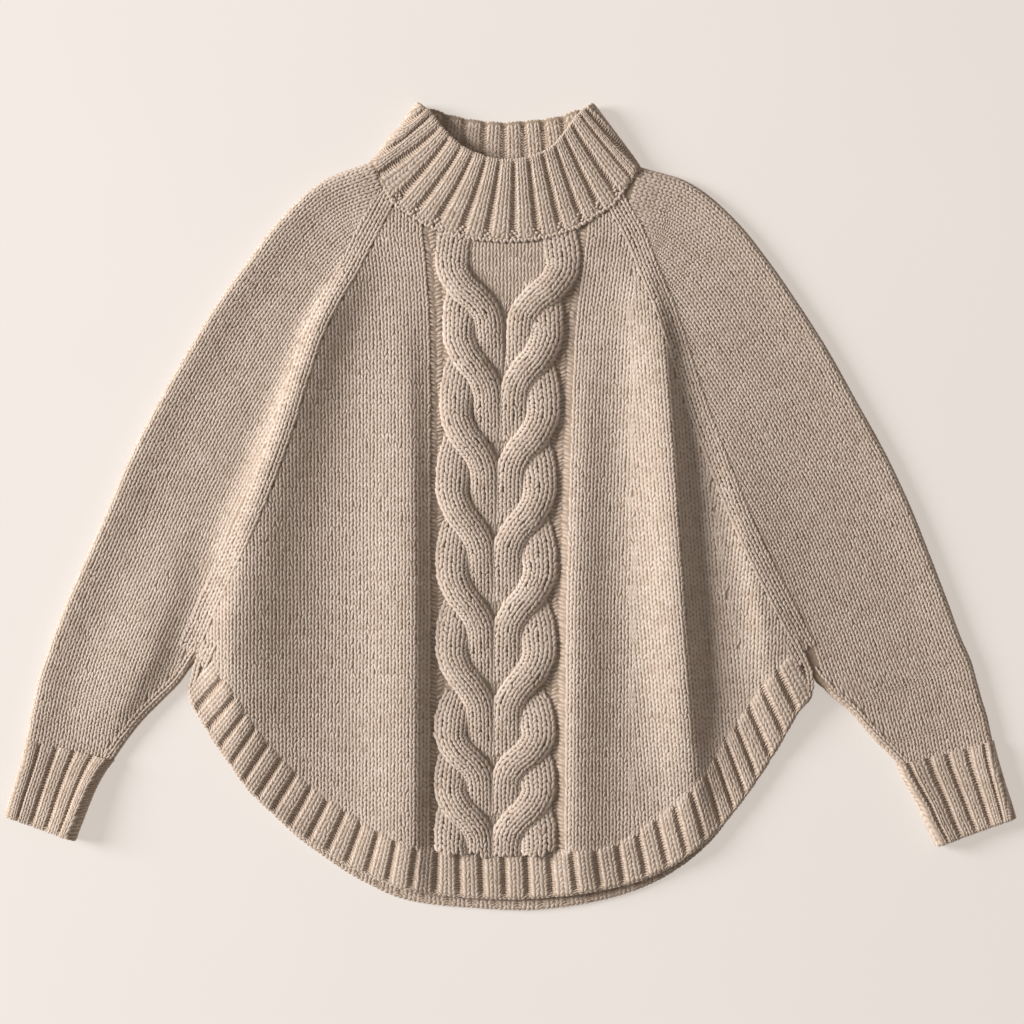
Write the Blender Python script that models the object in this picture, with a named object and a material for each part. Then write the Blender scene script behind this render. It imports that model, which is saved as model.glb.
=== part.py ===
"""Cable knit sweater with raglan sleeves, laid flat with its front upward.

Nine knitted pieces, each a closed wall of cloth: back and front panels, two
sleeves, a ribbed collar, front and back hem bands and two ribbed cuffs.

The outline tables are in millimetres on the laying-out board: x to the right
and y downward from the board's top left corner. BOARD_CENTRE is the point of
the board over the origin. Heights are millimetres above the board.
"""

import math

import bpy
import numpy as np

# ---------------------------------------------------------------- sizes, mm
MM = 0.001
BOARD_CENTRE = (510.0, 506.84)
CLOTH = 4.0            # thickness of the plain knitted wall
GAP = 0.3              # clearance between one layer or piece and the next
SEAM = 0.4             # clearance along a seam, measured on the board
RIB_TROUGH = 3.2       # thickness of ribbing between two ribs
RIB_RIDGE = 5.4        # thickness of ribbing on a rib
EDGE_PUFF = 2.6        # extra height of the cloth beside a folded edge
EDGE_REACH = 22.0      # how far in from the folded edge it dies away
EDGE_EASE = 12.0       # how far a line is eased to meet a folded edge
NECK_LIFT = 3.2        # how much the neck seam stands above the flat layers
NECK_REACH = 60.0      # how far down the front it dies away
RIM_RISE = 6.0         # how much higher the collar's front rim stands
CUFF_RISE = 2.6        # how much fuller the cuff's end is than its seam
LADDER_DEPTH = 1.4     # depth of the purl columns beside the cable
BACK_HEM_RIB = 1.4     # ribs on the strip of back hem that shows
BACK_HEM_SHOWS = (4.0, 2.2)  # steepness and start of those ribs from the side seam
BACK_LET_DOWN = 11.0   # how much lower the back's rib tops lie at the middle
NECK_ENDS = (395.0, 613.5)   # board x where the front's neck meets the raglans
RIB_ENDS = (203.0, 798.0)    # board x where the rib tops meet the raglans
CABLE_ZONE = (424.0, 584.0)  # board x of the front's finer columns
COLLAR_SPAN = 316.0    # length of the neck seam across the front
COLLAR_TAPER = 0.3     # share of it that the rim is shorter
RIM_EVENNESS = 0.45    # share of RIM_RISE that the rim's ends keep
CUFF_FULLNESS = 0.7    # power of the cuff's rise: under 1 opens early
SHARP_DEG = 50.0       # faces that meet at more than this shade as an edge
YARN = "B09A86"        # beige heather wool
YARN_ROUGHNESS = 0.95

# ------------------------------------------------------- numbers of cells
CURVE_SAMPLES = 600
FRONT_ROWS = 66
SIDE_CELLS = 12
CABLE_CELLS = 18
INNER_ROW_STEP = 8
ROLL_CELLS = 4
COLLAR_RIBS = 14
CUFF_RIBS = 5
HEM_RIBS = 34
NECK_SAMPLES = 45
CELLS_PER_RIB = 4
COLLAR_ROWS = 6
COLLAR_BACK_CELLS = 12
HEM_ROWS = 3
CUFF_ROWS = 6
CUFF_BACK_CELLS = 5
SLEEVE_FRONT_CELLS = 8
SLEEVE_CROWDING = 1.5  # crowds the columns toward the front seam
SLEEVE_BACK_CELLS = 3
CURL_CELLS = 2
CURL_END_DEG = 86.0
CURL_STEP = 3.0        # width of the flat strip along an edge that isn't curled
BACK_ROWS = 22
BACK_COLUMNS = 20
BACK_HEM_ROWS = 2
BACK_HEM_CELLS_PER_RIB = 2

# --------------------------------------------------- neck: columns x, y
NECK_FRONT = [
    (371.0, 162.0), (379.0, 176.0), (387.0, 190.0), (395.0, 203.5),
    (410.0, 213.0), (428.0, 225.0), (450.0, 233.0), (478.0, 238.5),
    (506.0, 240.5), (534.0, 239.0), (560.0, 233.0), (582.0, 224.0),
    (600.0, 212.0), (613.5, 203.5), (622.0, 191.5), (631.0, 179.5),
    (640.0, 167.0),
]
NECK_BACK = [
    (371.0, 162.0), (386.5, 171.0), (402.0, 180.0), (450.0, 193.0),
    (506.0, 198.0), (560.0, 194.5), (607.0, 184.0), (623.5, 175.5),
    (640.0, 167.0),
]
RIM_FRONT = [
    (418.0, 103.0), (430.0, 112.0), (440.0, 125.0), (450.0, 136.5),
    (462.0, 147.0), (478.0, 155.0), (500.0, 160.5), (520.0, 160.0),
    (538.0, 155.0), (551.0, 148.0), (562.0, 136.0), (572.0, 122.5),
    (582.0, 111.5), (592.0, 103.5),
]
RIM_BACK = [
    (418.0, 103.0), (432.0, 108.5), (448.0, 114.5), (465.0, 118.5),
    (485.0, 121.5), (505.0, 122.5), (525.0, 121.0), (545.0, 119.0),
    (562.0, 115.5), (577.0, 109.5), (592.0, 103.5),
]
# ------------------------------- rib tops and hem edges: columns x, y
RIB_TOP = [
    (203.0, 643.0), (214.0, 656.0), (225.0, 671.0), (240.0, 693.0),
    (257.0, 721.0), (277.0, 747.0), (300.0, 771.0), (322.0, 790.0),
    (348.0, 806.0), (375.0, 825.0), (400.0, 838.0), (430.0, 846.0),
    (470.0, 849.5), (510.0, 850.0), (550.0, 849.0), (580.0, 847.0),
    (600.0, 845.0), (628.0, 833.0), (655.0, 813.0), (680.0, 794.0),
    (700.0, 772.0), (718.0, 745.0), (736.0, 716.0), (757.0, 686.0),
    (778.0, 661.0), (798.0, 641.0),
]
HEM_FRONT = [
    (188.0, 688.0), (191.0, 702.0), (203.0, 723.0), (217.0, 745.0),
    (233.0, 768.0), (250.0, 791.0), (266.0, 807.0), (280.0, 820.0),
    (300.0, 836.0), (320.0, 849.0), (345.0, 864.0), (370.0, 876.0),
    (400.0, 887.5), (430.0, 893.5), (470.0, 897.5), (515.0, 899.0),
    (560.0, 896.0), (600.0, 890.0), (640.0, 880.5), (670.0, 867.0),
    (700.0, 846.0), (720.0, 828.0), (740.0, 804.0), (760.0, 776.0),
    (780.0, 744.0), (800.0, 709.0), (811.0, 696.0), (813.0, 688.0),
]
HEM_BACK = [
    (189.0, 688.0), (192.0, 701.0), (204.0, 722.0), (218.0, 744.0),
    (234.0, 767.0), (251.0, 790.0), (267.0, 808.0), (282.0, 824.0),
    (300.0, 840.5), (320.0, 855.0), (345.0, 872.0), (370.0, 886.0),
    (400.0, 899.0), (430.0, 905.0), (470.0, 908.5), (530.0, 911.0),
    (580.0, 905.5), (620.0, 896.5), (650.0, 885.5), (680.0, 868.5),
    (700.0, 853.0), (720.0, 832.0), (739.0, 803.5), (759.0, 775.5),
    (779.0, 743.5), (799.0, 708.5), (810.0, 696.0), (812.0, 688.0),
]
UNDERARM_LEFT = (197.0, 656.0)
UNDERARM_RIGHT = (812.5, 674.5)

# ---- sleeves, a row for each section: front seam x, y and outer edge x, y
SLEEVE_LEFT = [
    (395.0, 203.5, 371.0, 162.0), (375.0, 240.0, 322.0, 181.5),
    (357.0, 275.0, 279.0, 220.0), (342.0, 300.0, 248.0, 260.0),
    (323.0, 340.0, 219.0, 300.0), (308.0, 385.0, 188.0, 350.0),
    (296.0, 425.0, 159.0, 400.0), (280.0, 470.0, 131.0, 454.0),
    (262.0, 515.0, 109.0, 505.0), (241.0, 560.0, 87.0, 555.0),
    (221.0, 602.0, 68.0, 598.0), (203.0, 643.0, 52.5, 637.0),
    (197.0, 656.0, 46.0, 656.0), (180.0, 682.0, 38.0, 680.0),
    (161.0, 701.5, 33.5, 700.0), (141.0, 722.0, 30.0, 717.0),
    (125.0, 742.5, 28.0, 729.0), (113.5, 759.5, 26.0, 738.5),
]
SLEEVE_RIGHT = [
    (613.5, 203.5, 640.0, 167.0), (632.0, 237.0, 690.0, 183.0),
    (648.0, 277.0, 735.0, 219.5), (660.0, 305.0, 768.0, 260.0),
    (672.0, 340.0, 796.0, 300.0), (686.0, 385.0, 828.0, 350.0),
    (700.0, 425.0, 856.0, 400.0), (716.0, 467.0, 886.0, 454.0),
    (733.0, 510.0, 910.0, 505.0), (751.0, 550.0, 930.0, 555.0),
    (771.0, 590.0, 946.5, 598.0), (798.0, 641.0, 962.0, 640.0),
    (812.5, 674.5, 972.0, 663.0), (830.0, 695.0, 977.0, 681.0),
    (850.0, 712.0, 982.5, 701.0), (868.0, 733.0, 988.0, 719.0),
    (884.0, 749.5, 990.5, 731.0), (898.0, 764.0, 992.5, 740.5),
]
RAGLAN_END = 11        # section where the panels' side seams end
UNDERARM_SECTION = 12  # section at the underarm, from where the sleeve closes
# How far the back's seam starts from the front's at the neck, x and y.
BACK_SEAM_LEFT = (7.0, -23.5)
BACK_SEAM_RIGHT = (-6.5, -19.5)
BACK_SEAM_SECTIONS = 3.0   # sections over which the two seams come together

# ----- cuffs, a row for each section: inner edge x, y and outer edge x, y
CUFF_LEFT = [
    (113.35, 760.0, 25.9, 739.0), (105.0, 771.0, 21.5, 758.0),
    (98.0, 783.5, 16.0, 777.0), (91.5, 798.0, 10.0, 796.0),
    (84.0, 818.0, 6.5, 808.0), (75.0, 841.5, 5.0, 814.0),
]
CUFF_RIGHT = [
    (898.1, 764.5, 992.6, 741.0), (904.0, 778.0, 997.0, 759.5),
    (911.5, 792.0, 1002.5, 778.0), (919.5, 807.0, 1008.5, 797.0),
    (927.5, 826.0, 1012.5, 809.0), (938.0, 847.0, 1015.0, 816.5),
]

# --- folds of the front: board y, crest x, spread left, spread right, height
FOLDS = {
    "raglan_left": [
        (250.0, 362.0, 14.0, 22.0, 0.0), (320.0, 331.0, 14.0, 24.0, 7.0),
        (400.0, 303.0, 14.0, 30.0, 9.0), (520.0, 262.0, 16.0, 34.0, 9.0),
        (620.0, 238.0, 18.0, 36.0, 10.0), (700.0, 238.0, 18.0, 36.0, 8.0),
        (790.0, 252.0, 18.0, 36.0, 3.0),
    ],
    "middle_left": [
        (380.0, 392.0, 30.0, 14.0, 0.0), (480.0, 398.0, 34.0, 13.0, 5.0),
        (640.0, 402.0, 34.0, 12.0, 7.0), (800.0, 402.0, 34.0, 12.0, 6.0),
        (900.0, 400.0, 30.0, 14.0, 2.5),
    ],
    "middle_right": [
        (270.0, 648.0, 30.0, 16.0, 0.0), (340.0, 662.0, 36.0, 13.0, 8.0),
        (460.0, 671.0, 40.0, 12.0, 13.0), (600.0, 680.0, 42.0, 13.0, 14.0),
        (700.0, 690.0, 42.0, 14.0, 12.0), (790.0, 698.0, 38.0, 16.0, 7.0),
        (880.0, 700.0, 34.0, 18.0, 3.0),
    ],
    "side_right": [
        (460.0, 738.0, 18.0, 24.0, 0.0), (540.0, 760.0, 20.0, 26.0, 4.5),
        (620.0, 778.0, 20.0, 26.0, 6.0), (700.0, 782.0, 20.0, 26.0, 3.0),
        (760.0, 780.0, 20.0, 26.0, 0.0),
    ],
}

# --------------- cable: where each pair of strands meets, columns x, y
CABLE_MEETS = [
    (504.6, 300.5), (500.5, 372.0), (497.4, 450.0), (493.6, 529.0),
    (493.8, 609.0), (493.4, 688.0), (492.4, 763.0), (492.3, 821.0),
    (492.3, 885.0),
]
# One strand, from under the crossing above to under the crossing below:
# columns distance out from the middle, distance down from the meeting
# point, half width, height of its crest.
STRAND = [
    (34.0, -92.0, 12.0, 2.0), (42.0, -76.0, 13.0, 4.0),
    (47.0, -52.0, 14.0, 6.0), (43.5, -32.0, 14.0, 7.2),
    (33.0, -15.0, 14.0, 8.0), (21.5, 0.0, 13.5, 7.6),
    (14.5, 17.0, 12.8, 6.4), (12.8, 38.0, 12.6, 5.0),
    (12.8, 62.0, 12.4, 3.4), (12.8, 74.0, 12.0, 2.0),
]
RIGHT_STRAND_WIDER = 1.06
TOP_STRAND_WIDER = 1.20
CABLE_PITCH = 79.0     # distance between meeting points that STRAND is drawn for
# Purl columns beside the cable: board y, left x, right x, half width.
LADDERS = [
    (235.0, 428.0, 579.0, 5.0), (300.0, 430.0, 575.0, 5.5),
    (400.0, 431.5, 570.0, 5.5), (500.0, 432.5, 566.5, 5.0),
    (620.0, 432.5, 562.5, 4.5), (850.0, 431.0, 561.5, 4.0),
]


# ---------------------------------------------------------- small geometry
def hermite(points, slopes, knots, at):
    """Cubic pieces through points with given slopes, evaluated at knots' unit."""
    k = np.clip(np.searchsorted(knots, at, side="right") - 1, 0, len(knots) - 2)
    span = knots[k + 1] - knots[k]
    t = ((at - knots[k]) / span)[:, None]
    span = span[:, None]
    rise = (1.0 + 2.0 * t) * (1.0 - t) ** 2 * points[k]
    rise = rise + t * (1.0 - t) ** 2 * span * slopes[k]
    rise = rise + t * t * (3.0 - 2.0 * t) * points[k + 1]
    return rise + t * t * (t - 1.0) * span * slopes[k + 1]


def along(table, fractions):
    """Points of a smooth line through the rows, at fractions of its length."""
    points = np.asarray(table, float)
    steps = np.linalg.norm(np.diff(points[:, :2], axis=0), axis=1)
    knots = np.concatenate(([0.0], np.cumsum(steps)))
    slopes = np.gradient(points, knots, axis=0)
    fine = np.linspace(0.0, knots[-1], CURVE_SAMPLES)
    line = hermite(points, slopes, knots, fine)
    run = np.linalg.norm(np.diff(line[:, :2], axis=0), axis=1)
    run = np.concatenate(([0.0], np.cumsum(run)))
    at = np.interp(np.asarray(fractions) * run[-1], run, fine)
    return hermite(points, slopes, knots, at)


def at_rows(table, rows):
    """A table of sections, read at whole or part rows."""
    points = np.asarray(table, float)
    knots = np.arange(len(points), dtype=float)
    slopes = np.gradient(points, knots, axis=0)
    return hermite(points, slopes, knots, np.asarray(rows, float))


def seam_lines(table, back_start, rows):
    """Front and back raglan seams at part rows of a sleeve's table."""
    front = at_rows(table, rows)[:, :2]
    apart = np.clip(1.0 - np.asarray(rows) / BACK_SEAM_SECTIONS, 0.0, 1.0) ** 2
    return front, front + apart[:, None] * np.asarray(back_start)


def at_x(table, x):
    """Points of the smooth line through the rows, at the given x."""
    line = along(table, np.linspace(0.0, 1.0, CURVE_SAMPLES))
    return np.stack((x, np.interp(x, line[:, 0], line[:, 1])), axis=1)


def unit(vectors):
    """Vectors made one long."""
    return vectors / np.linalg.norm(vectors, axis=-1, keepdims=True)


def board_to_metres(points):
    """Board millimetres with heights to metres, x right, y up, z up."""
    out = np.empty_like(points)
    out[..., 0] = (points[..., 0] - BOARD_CENTRE[0]) * MM
    out[..., 1] = (BOARD_CENTRE[1] - points[..., 1]) * MM
    out[..., 2] = points[..., 2] * MM
    return out


# -------------------------------------------------------- heights of cloth
def fold_lift(x, y):
    """How far the folds and the neck lift the front layer at board points."""
    lift = np.zeros_like(x)
    for rows in FOLDS.values():
        table = np.asarray(rows)
        crest, left, right, height = (
            np.interp(y, table[:, 0], table[:, column]) for column in range(1, 5)
        )
        off = x - crest
        spread = np.where(off < 0.0, left, right)
        lift = lift + height * np.exp(-((off / spread) ** 2))
    neck = at_x(NECK_FRONT, np.linspace(*NECK_ENDS, NECK_SAMPLES))
    away = np.full_like(x, 1e6)
    for nx, ny in neck:
        away = np.minimum(away, np.hypot(x - nx, y - ny))
    return lift + NECK_LIFT * np.exp(-((away / NECK_REACH) ** 2))


def edge_puff(distance):
    """Extra height of the upper layer at a distance from a folded edge."""
    return EDGE_PUFF * np.exp(-((distance / EDGE_REACH) ** 2))


def upper_middle(x, y):
    """Height of the middle of the front layer's plain wall."""
    return CLOTH + GAP + CLOTH / 2.0 + fold_lift(x, y)


def rib_profile(cells):
    """Height 0 to 1 over cells of ribbing: a trough, then a flat topped rib."""
    shape = np.array([0.0, 0.85, 1.0, 0.85])
    return shape[np.arange(cells + 1) % CELLS_PER_RIB]


def strand_relief(x, y, meet, side, pitch, wider):
    """Height of one cable strand over the plain wall."""
    table = np.asarray(STRAND)
    line_x = meet[0] + side * wider * table[:, 0]
    line_y = meet[1] + table[:, 1] * pitch / CABLE_PITCH
    relief = np.zeros_like(x)
    for k in range(len(table) - 1):
        ax, ay = line_x[k], line_y[k]
        bx, by = line_x[k + 1] - ax, line_y[k + 1] - ay
        t = ((x - ax) * bx + (y - ay) * by) / (bx * bx + by * by)
        t = np.clip(t, 0.0, 1.0)
        off = np.hypot(x - ax - t * bx, y - ay - t * by)
        half = table[k, 2] + t * (table[k + 1, 2] - table[k, 2])
        crest = table[k, 3] + t * (table[k + 1, 3] - table[k, 3])
        dome = np.sqrt(np.clip(1.0 - (off / (half + 1.5)) ** 2, 0.0, 1.0))
        relief = np.maximum(relief, crest * dome)
    return relief


def cable_relief(x, y):
    """Height of the cable over the plain wall, and depth of its purl columns."""
    relief = np.zeros_like(x)
    for k, meet in enumerate(CABLE_MEETS):
        pitch = CABLE_PITCH
        if k + 1 < len(CABLE_MEETS):
            pitch = min(pitch, CABLE_MEETS[k + 1][1] - meet[1])
        wider = TOP_STRAND_WIDER if k == 0 else 1.0
        for side in (-1.0, 1.0):
            more = wider * (RIGHT_STRAND_WIDER if side > 0.0 else 1.0)
            strand = strand_relief(x, y, meet, side, pitch, more)
            relief = np.maximum(relief, strand)
    ladder = np.asarray(LADDERS)
    half = np.interp(y, ladder[:, 0], ladder[:, 3])
    for column in (1, 2):
        off = np.abs(x - np.interp(y, ladder[:, 0], ladder[:, column]))
        relief = relief - LADDER_DEPTH * np.exp(-((off / half) ** 4))
    return relief


# ------------------------------------------------------------ wall of cloth
def outer_faces(rows, columns, wrap):
    """Four-sided faces over a grid of rows by columns."""
    faces = []
    for i in range(rows - 1):
        for j in range(columns if wrap else columns - 1):
            k = (j + 1) % columns
            faces.append((i * columns + j, i * columns + k,
                          (i + 1) * columns + k, (i + 1) * columns + j))
    return faces


def inner_faces(rows, columns, row_cuts, column_cuts, wrap):
    """Large faces between the cuts, that keep each point of the open edges."""
    faces = []
    spans = list(zip(column_cuts[:-1], column_cuts[1:]))
    if wrap:
        spans.append((column_cuts[-1], columns + column_cuts[0]))
    for top, bottom in zip(row_cuts[:-1], row_cuts[1:]):
        for left, right in spans:
            whole_top = range(left, right + 1) if top == 0 else (left, right)
            whole_low = range(left, right + 1) if bottom == rows - 1 else (left, right)
            whole_right = ()
            whole_left = ()
            if not wrap and right == columns - 1:
                whole_right = range(top + 1, bottom)
            if not wrap and left == 0:
                whole_left = range(top + 1, bottom)
            ring = [(top, j) for j in whole_top]
            ring += [(i, right) for i in whole_right]
            ring += [(bottom, j) for j in reversed(whole_low)]
            ring += [(i, left) for i in reversed(whole_left)]
            faces.append(tuple(i * columns + j % columns for i, j in ring))
    return faces


def rim_faces(rows, columns, shift, wrap):
    """Faces that join the outer and inner grids round their open edges."""
    faces = []
    for j in range(columns if wrap else columns - 1):
        k = (j + 1) % columns
        low = (rows - 1) * columns
        faces.append((k, j, j + shift, k + shift))
        faces.append((low + j, low + k, low + k + shift, low + j + shift))
    if not wrap:
        for i in range(rows - 1):
            a, b = i * columns, (i + 1) * columns
            faces.append((a, b, b + shift, a + shift))
            a, b = a + columns - 1, b + columns - 1
            faces.append((b, a, a + shift, b + shift))
    return faces


def signed_volume(points, faces):
    """Six times the volume inside the faces, positive when they face out."""
    total = 0.0
    for face in faces:
        a = points[face[0]]
        for k in range(1, len(face) - 1):
            total += float(np.dot(a, np.cross(points[face[k]], points[face[k + 1]])))
    return total


def cloth_wall(name, outer, inner, row_cuts, column_cuts, wrap=False, plain=False):
    """A closed wall between an outer and an inner grid of points.

    The inner side has large faces between the cuts, and so has the outer
    side of a plain wall.
    """
    rows, columns = outer.shape[:2]
    shift = rows * columns
    points = board_to_metres(np.concatenate((outer.reshape(-1, 3), inner.reshape(-1, 3))))
    large = inner_faces(rows, columns, row_cuts, column_cuts, wrap)
    faces = list(large) if plain else outer_faces(rows, columns, wrap)
    faces += [tuple(index + shift for index in reversed(face)) for face in large]
    faces += rim_faces(rows, columns, shift, wrap)
    if signed_volume(points, faces) < 0.0:
        faces = [tuple(reversed(face)) for face in faces]
    used = sorted({index for face in faces for index in face})
    new_index = {index: k for k, index in enumerate(used)}
    mesh = bpy.data.meshes.new(name)
    mesh.from_pydata(
        [tuple(points[index]) for index in used],
        [],
        [tuple(new_index[index] for index in face) for face in faces],
    )
    mesh.polygons.foreach_set("use_smooth", [True] * len(mesh.polygons))
    mesh.set_sharp_from_angle(angle=math.radians(SHARP_DEG))
    mesh.update()
    piece = bpy.data.objects.new(name, mesh)
    bpy.context.scene.collection.objects.link(piece)
    piece.data.materials.append(wool(name))
    return piece


def wool(name):
    """Beige heather wool for one piece."""
    material = bpy.data.materials.new(name + "_wool")
    material.use_nodes = True
    shader = material.node_tree.nodes["Principled BSDF"]
    srgb = [int(YARN[k:k + 2], 16) / 255.0 for k in (0, 2, 4)]
    linear = [(c / 12.92) if c <= 0.04045 else ((c + 0.055) / 1.055) ** 2.4 for c in srgb]
    shader.inputs["Base Color"].default_value = (*linear, 1.0)
    shader.inputs["Roughness"].default_value = YARN_ROUGHNESS
    shader.inputs["Metallic"].default_value = 0.0
    return material


def cuts(last, step):
    """Every step-th index from 0, ending on the last."""
    return list(range(0, last, step)) + [last]


# ------------------------------------------------------------- flat panels
def panel_plan(top, bottom, left, right):
    """Grid between four edge lines: rows down, columns across."""
    rows, columns = len(left), len(top)
    v = np.linspace(0.0, 1.0, rows)[:, None, None]
    share = np.linalg.norm(np.diff(bottom, axis=0), axis=1)
    u = np.concatenate(([0.0], np.cumsum(share)))[None, :, None]
    u = u / u[0, -1, 0]
    corners = (1 - u) * (1 - v) * top[0] + u * (1 - v) * top[-1]
    corners = corners + (1 - u) * v * bottom[0] + u * v * bottom[-1]
    plan = (1 - v) * top[None] + v * bottom[None]
    return plan + (1 - u) * left[:, None] + u * right[:, None] - corners


def front_columns():
    """Board x of the front's columns at the neck and at the rib top."""
    zone_left, zone_right = CABLE_ZONE
    middle = np.linspace(zone_left, zone_right, CABLE_CELLS + 1)[1:-1]
    at_ends = [
        np.concatenate((
            np.linspace(left, zone_left, SIDE_CELLS + 1), middle,
            np.linspace(zone_right, right, SIDE_CELLS + 1),
        ))
        for left, right in (NECK_ENDS, RIB_ENDS)
    ]
    return at_ends[0], at_ends[1]


def rib_top_line():
    """The front's lower seam, as the corners of its columns."""
    return at_x(RIB_TOP, front_columns()[1])


def build_front_panel():
    """Front: vertical wales, the cable down its middle, raglan sides."""
    at_neck, _ = front_columns()
    v = np.linspace(0.0, 1.0, FRONT_ROWS + 1)
    top = at_x(NECK_FRONT, at_neck)
    left = seam_lines(SLEEVE_LEFT, BACK_SEAM_LEFT, v * RAGLAN_END)[0]
    right = seam_lines(SLEEVE_RIGHT, BACK_SEAM_RIGHT, v * RAGLAN_END)[0]
    plan = panel_plan(top, rib_top_line(), left, right)
    plan[0, :, 1] += SEAM
    x, y = plan[..., 0], plan[..., 1]
    under = upper_middle(x, y) - CLOTH / 2.0
    outer = np.dstack((plan, under + CLOTH + cable_relief(x, y)))
    inner = np.dstack((plan, under))
    last = plan.shape[1] - 1
    column_cuts = list(range(0, SIDE_CELLS))
    column_cuts += list(range(SIDE_CELLS, last - SIDE_CELLS, 3))
    column_cuts += list(range(last - SIDE_CELLS, last + 1))
    cloth_wall("front_panel", outer, inner, cuts(FRONT_ROWS, INNER_ROW_STEP), column_cuts)


def back_rib_line():
    """The back's lower seam: the front's, let down toward the middle."""
    share = np.linspace(0.0, 1.0, BACK_COLUMNS + 1)
    line = at_x(RIB_TOP, np.linspace(*RIB_ENDS, BACK_COLUMNS + 1))
    line[:, 1] += BACK_LET_DOWN * np.sqrt(np.sin(math.pi * share))
    return line


def build_back_panel():
    """Back: a plain flat wall that lies on the board."""
    v = np.linspace(0.0, 1.0, BACK_ROWS + 1)
    share = np.linspace(0.0, 1.0, BACK_COLUMNS + 1)
    left = seam_lines(SLEEVE_LEFT, BACK_SEAM_LEFT, v * RAGLAN_END)[1]
    right = seam_lines(SLEEVE_RIGHT, BACK_SEAM_RIGHT, v * RAGLAN_END)[1]
    top = at_x(NECK_BACK, left[0, 0] + (right[0, 0] - left[0, 0]) * share)
    plan = panel_plan(top, back_rib_line(), left, right)
    plan[0, :, 1] += SEAM
    flat = np.zeros(plan.shape[:2])
    outer = np.dstack((plan, flat + CLOTH))
    inner = np.dstack((plan, flat))
    cloth_wall("back_panel", outer, inner, cuts(BACK_ROWS, 11), cuts(BACK_COLUMNS, 5),
               plain=True)


# --------------------------------------------------------------- hem bands
def band_plan(inner_line, outer_line, columns, rows, clearance):
    """Grid of a band between the rib tops and the hem's edge."""
    share = np.linspace(0.0, 1.0, columns + 1)
    run = np.concatenate(([0.0], np.cumsum(
        np.linalg.norm(np.diff(inner_line, axis=0), axis=1))))
    at = share * run[-1]
    top = np.stack([np.interp(at, run, inner_line[:, k]) for k in (0, 1)], axis=1)
    low = along(outer_line, share)
    top = top + unit(low - top) * clearance
    t = np.linspace(0.0, 1.0, rows + 1)[:, None, None]
    return (1.0 - t) * top[None] + t * low[None]


def side_seam(plan, underarm_left, underarm_right):
    """Bends a band's ends through the underarm points."""
    rows = plan.shape[0]
    t = np.linspace(0.0, 1.0, rows)
    for column, point in ((0, underarm_left), (-1, underarm_right)):
        edge = plan[:, column]
        corners = np.array([edge[0], point, edge[-1]])
        run = np.linalg.norm(np.diff(corners, axis=0), axis=1)
        run = np.concatenate(([0.0], np.cumsum(run))) / run.sum()
        for axis in (0, 1):
            plan[:, column, axis] = np.interp(t, run, corners[:, axis])
    return plan


def build_hem_front():
    """Front hem: ribs fanning from the rib tops to the rounded edge."""
    cells = HEM_RIBS * CELLS_PER_RIB
    plan = band_plan(rib_top_line(), HEM_FRONT, cells, HEM_ROWS, 1.5 * SEAM)
    plan = side_seam(plan, UNDERARM_LEFT, UNDERARM_RIGHT)
    x, y = plan[..., 0], plan[..., 1]
    under = upper_middle(x, y) - CLOTH / 2.0
    rib = RIB_TROUGH + (RIB_RIDGE - RIB_TROUGH) * rib_profile(cells)[None, :]
    outer = np.dstack((plan, under + rib))
    inner = np.dstack((plan, under))
    cloth_wall("hem_front", outer, inner, [0, HEM_ROWS], cuts(cells, CELLS_PER_RIB))


def build_hem_back():
    """Back hem: flat below, ribbed on the strip that shows under the front."""
    cells = HEM_RIBS * BACK_HEM_CELLS_PER_RIB
    plan = band_plan(back_rib_line(), HEM_BACK, cells, BACK_HEM_ROWS, 2.0 * SEAM)
    plan = side_seam(plan, UNDERARM_LEFT, UNDERARM_RIGHT)
    height = np.full(plan.shape[:2], CLOTH)
    across = np.linspace(0.0, 1.0, cells + 1)
    steep, start = BACK_HEM_SHOWS
    shows = np.clip(steep * np.sin(math.pi * across) - start, 0.0, 1.0)
    trough = np.arange(cells + 1) % BACK_HEM_CELLS_PER_RIB == 0
    height[-1] -= BACK_HEM_RIB * shows * trough
    outer = np.dstack((plan, height))
    inner = np.dstack((plan, np.zeros(plan.shape[:2])))
    cloth_wall("hem_back", outer, inner, [0, BACK_HEM_ROWS], cuts(cells, 4))


# ------------------------------------------------- tubes: folded sections
def roll(corner, outward, low, high, up):
    """Middle points and normals of a folded edge, from one layer to the other.

    corner is the outermost board point of the cloth, outward the direction
    it bulges, low and high the middle heights of the two layers.
    """
    radius = (high - low) / 2.0
    centre = corner - outward * (radius + CLOTH / 2.0)
    turn = np.linspace(-90.0, 90.0, ROLL_CELLS + 1)
    if not up:
        turn = turn[::-1]
    c = np.cos(np.radians(turn))[:, None]
    s = np.sin(np.radians(turn))[:, None]
    middle = np.hstack((centre + outward * radius * c, low + radius + radius * s))
    normal = np.hstack((outward * c, s))
    return middle, normal, centre


def drawn_in(line, start, end):
    """A line whose ends are moved to start and end, eased over its length."""
    run = np.concatenate(([0.0], np.cumsum(
        np.linalg.norm(np.diff(line, axis=0), axis=1))))
    near = np.exp(-((run / EDGE_EASE) ** 2))[:, None]
    far = np.exp(-(((run[-1] - run) / EDGE_EASE) ** 2))[:, None]
    return line + near * (start - line[0]) + far * (end - line[-1])


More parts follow.
